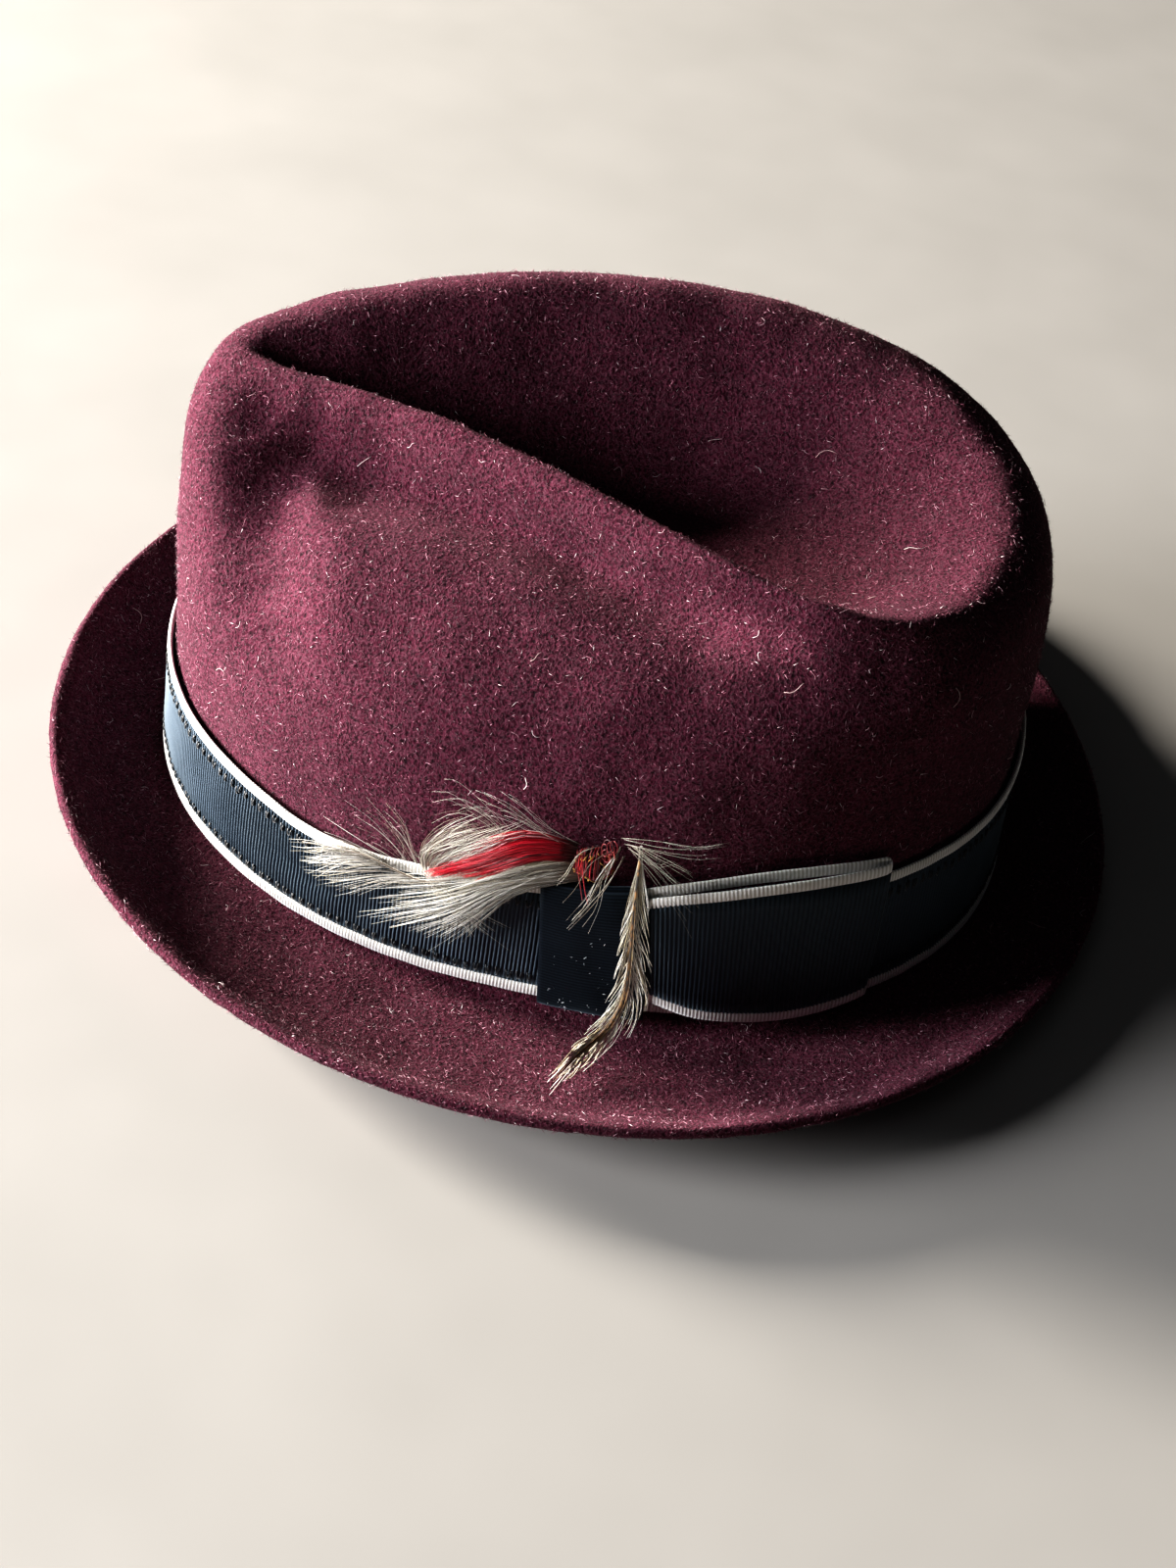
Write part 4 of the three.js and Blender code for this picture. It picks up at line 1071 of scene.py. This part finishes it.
def buildBinding(material):
    look = binding
    middle = onSide(np.array(look["centre"], float))
    outward = unit(middle * [1, 1, 0])
    upward = np.array([0, 0, 1.0])
    beside = np.cross(upward, outward)
    wide, tall, thick = look["radii"]

    def around(turn, rise, grow=1.0):    # a place on the bundle; turn goes round it, rise along it
        girth = np.cos(rise)[..., None] * grow
        ring = upward * tall * np.cos(turn)[..., None] + outward * thick * np.sin(turn)[..., None]
        return middle + beside * wide * np.sin(rise)[..., None] * grow + girth * ring

    def thread(paths, radius, shares, sides=5):
        tints = pickTints(look["reds"], shares, len(paths))[:, None]
        return paths, np.full(paths.shape[:2], radius), outward, tints, sides

    circle, threads, loops = np.linspace(0, 2 * math.pi, 24), [], []
    for k in range(look["turns"]):    # wound over and over, each turn a little askew
        base = -1.2 + 2.4 * k / (look["turns"] - 1) + dice.normal() * 0.05
        askew = base + 0.16 * np.sin(circle + dice.uniform(0, 6))
        threads.append(around(circle, askew, dice.uniform(0.97, 1.06)))
    for _ in range(look["loops"]):    # loose loops at the back
        centre = onSide(np.array([18.5 + 3 * dice.random(), 52.5 + 3.2 * dice.random(), 6.2]))
        curl = 0.2 + circle[:, None] * 0.93 + dice.uniform(0, 6)
        lean = beside * dice.uniform(0.25, 0.8) + outward * 0.5
        loops.append(centre + look["loopRadius"] * (lean * np.cos(curl) + upward * np.sin(curl)))
    tails = smoothPaths(onSide(np.array(look["tails"], float)), 24)
    where = around(dice.uniform(0.3, 2.8, look["flecks"]), dice.uniform(-1.1, 1.1, look["flecks"]), 1.09)
    fleck = where[:, None] + dice.normal(size=(look["flecks"], 1, 3)) * 0.35 * np.linspace(-1, 1, 3)[:, None]
    gold = np.array(toLinear(look["fleckTint"])[:3])
    along = np.linspace(-1.45, 1.45, 16)    # the quills' ends inside the thread, as one tapering bundle
    core = middle + beside * wide * np.sin(along)[:, None]
    coreTint = np.array(toLinear(look["core"])[:3])
    groups = [
        thread(np.array(threads), look["threadRadius"], look["shares"]),
        thread(np.array(loops), look["loopThread"], (0.3, 0.5, 0.1, 0.1)),
        thread(tails, look["tailThread"], (0.5, 0.4, 0, 0.1)),
        (fleck, np.full(fleck.shape[:2], look["fleckRadius"]), outward, gold, 3),
        (core[None], (thick * 0.9 * np.cos(along))[None], outward, coreTint, 16),
    ]
    joinStrands("threadBinding", groups, material, "feather_binding")


def buildKnotLint(material):
    # Pale lint caught on the lower part of the knot.
    count = knot["specks"]
    along, up = dice.uniform(0.1, 0.92, count), dice.uniform(0.05, 0.85, count) ** 1.7
    y, z = knotPlace(along, up)
    off = knot["closest"] + (knot["farthest"] - knot["closest"]) * knotLie(along) + 0.12
    centre = offAtHeight(angleAt(y), z, off)
    ahead = dice.normal(size=(count, 3)) * [0.1, 1, 1]
    t = np.linspace(-0.5, 0.5, 3)[:, None]
    paths = centre[:, None] + unit(ahead)[:, None] * t * dice.uniform(0.2, 0.9, (count, 1, 1)) ** 1.5
    tints = pickTints(knot["speckTints"], knot["speckShares"], count)[:, None]
    group = (paths, np.full(paths.shape[:2], 0.07), unit(centre * [1, 1, 0])[:, None], tints, 3)
    joinStrands("knotLint", [group], material, "bow_knot")


view = {
    "azimuth": 96.444, "elevation": 40.909, "roll": 9.085, "place": (456.609, 53.589, 393.368),
    "lens": 53.98, "sensor": 36,
}


def setCamera():
    azimuth, elevation, roll = (math.radians(view[k]) for k in ("azimuth", "elevation", "roll"))
    level = math.cos(elevation)
    back = Vector((math.sin(azimuth) * level, -math.cos(azimuth) * level, math.sin(elevation)))
    right = (-back).cross(Vector((0, 0, 1))).normalized()
    upward = right.cross(-back)
    turned = right * math.cos(roll) + upward * math.sin(roll)
    tall = upward * math.cos(roll) - right * math.sin(roll)
    lens = bpy.data.cameras.new("camera")
    lens.lens, lens.sensor_width = view["lens"], view["sensor"]
    lens.clip_start, lens.clip_end = 0.01, 20
    camera = bpy.data.objects.new("camera", lens)
    bpy.context.scene.collection.objects.link(camera)
    axes = Matrix((turned, tall, back)).transposed().to_4x4()
    camera.matrix_world = Matrix.Translation(Vector(view["place"]) * mm) @ axes
    bpy.context.scene.camera = camera


studio = {    # in metres and watts
    # each softbox: the direction that it stands in, its distance, width, power and colour
    "softboxes": {
        "keySoftbox": ((-0.204, -0.96, 0.191), 2.5, 0.67, 300, "#fffaf4"),
        "sideSoftbox": ((0.366, -0.907, 0.208), 1.5, 0.6, 56, "#f6f8ff"),
        "fillSoftbox": ((0.5, -0.3, 0.9), 2.0, 1.2, 0.6, "#eaf1ff"),
    },
    "aim": (0, 0, 0.05), "world": ("#dfe3ea", 0.02), "floorHalf": 3, "floor": ("#a8a49d", "#aeaaa3"),
}


def softbox(name, toward, distance, size, power, color):
    lamp = bpy.data.lights.new(name, "AREA")
    lamp.shape, lamp.size, lamp.energy, lamp.color = "DISK", size, power, toLinear(color)[:3]
    placed = bpy.data.objects.new(name, lamp)
    bpy.context.scene.collection.objects.link(placed)
    direction = Vector(toward).normalized()
    placed.location = direction * distance + Vector(studio["aim"])
    placed.rotation_mode = "QUATERNION"
    placed.rotation_quaternion = direction.to_track_quat("Z", "Y")


def setStudio():
    for name, values in studio["softboxes"].items():
        softbox(name, *values)
    world = bpy.data.worlds.new("studio")
    world.use_nodes = True
    sky, brightness = world.node_tree.nodes["Background"].inputs[:2]
    sky.default_value, brightness.default_value = toLinear(studio["world"][0]), studio["world"][1]
    bpy.context.scene.world = world
    bpy.context.scene.view_settings.view_transform = "Standard"
    bpy.context.scene.view_settings.look = "Medium High Contrast"
    # Painted board: matt and pale, with a faint unevenness and no gloss of its own.
    floorMaterial, tree, shader = startMaterial("paintedPaleFloor", Roughness=0.8)
    place = addNode(tree, "TexCoord").outputs["Object"]
    soft = addNode(tree, "TexNoise", {
        "Vector": place, "Scale": 1 / (60 * mm), "Detail": 2, "Roughness": 0.55}).outputs[0]
    color = layOver(tree, toLinear(studio["floor"][0]), soft, 0.3, 0.7, 1, studio["floor"][1])
    tree.links.new(color, shader.inputs["Base Color"])
    mesh = bpy.data.meshes.new("floor")
    far = studio["floorHalf"]
    mesh.from_pydata([(-far, -far, 0), (far, -far, 0), (far, far, 0), (-far, far, 0)], [], [(0, 1, 2, 3)])
    mesh.materials.append(floorMaterial)
    floor = bpy.data.objects.new("floor", mesh)
    floor.location.z = -0.0002
    bpy.context.scene.collection.objects.link(floor)


print("felt")
buildFelt()
# Matt wool fibres; the pale and near-white tints among them are painted highlights, fibres coloured as if
# catching the light.
napMaterial = tintedMaterial("woolNap", 0.9, sheen=0.2, specular=0.15)
buildNap("napCrown", nap["crown"], placeOf("bandHead") - 1, placeOf("pit"), napMaterial)
buildNap("napBrim", nap["brim"], placeOf("underRoll"), placeOf("bandFoot"), napMaterial)
buildNap("napUnder", nap["under"], placeOf("rest"), placeOf("underRoll"), napMaterial)
for part, first, last in (("Crown", "low", "pit"), ("Brim", "underRoll", "bandFoot")):
    for kind in ("curls", "hairs"):
        buildLint(kind, part, placeOf(first), placeOf(last), napMaterial)

print("ribbon")
navy = grosgrainMaterial("navyRayonGrosgrain", 0.52, 1.0, 0.0)
# The same ribbon lying the other way, duller with handling.
knotNavy = grosgrainMaterial("navyGrosgrainKnot", 0.75, 0.25, 0.25)
cream = pipingMaterial()
# Twisted sewing thread: slightly glossy strands.
threadMaterial = tintedMaterial("twistedThread", 0.5, sheen=0.2, specular=0.4)
bandPiece, bandLength = buildBand(navy)
bandWith = [
    buildStitches(threadMaterial),
    edgingRound("edgingBottom", "bottom", "band_edging_bottom", cream),
    edgingRound("edgingTop", "top", "band_edging_top", cream),
]
bowPiece, bowLength = buildBow(navy)
bowWith = [
    edgingOnBow("bowEdgingBottom", 0.035, "bow_edging_bottom", cream),
    edgingOnBow("bowEdgingTop", 0.965, "bow_edging_top", cream, backRise=1.2, droop=0.8),
]
knotPiece, knotLength = buildKnot(knotNavy)
buildKnotLint(napMaterial)

print("feathers")
# Undyed cock feather: satin barbs with bright downy edges.
barbMaterial = tintedMaterial("featherBarbs", 0.45, sheen=1.0, specular=0.6, Sheen_Tint=toLinear("#fff8e6"))
# Dyed hackle: glossier, each barb a saturated red.
dyedMaterial = tintedMaterial("dyedHackle", 0.35, specular=0.5)
buildPlume(barbMaterial)
buildHackle(dyedMaterial)
buildDrop(barbMaterial)
buildBinding(threadMaterial)

print("studio")
setCamera()
setStudio()
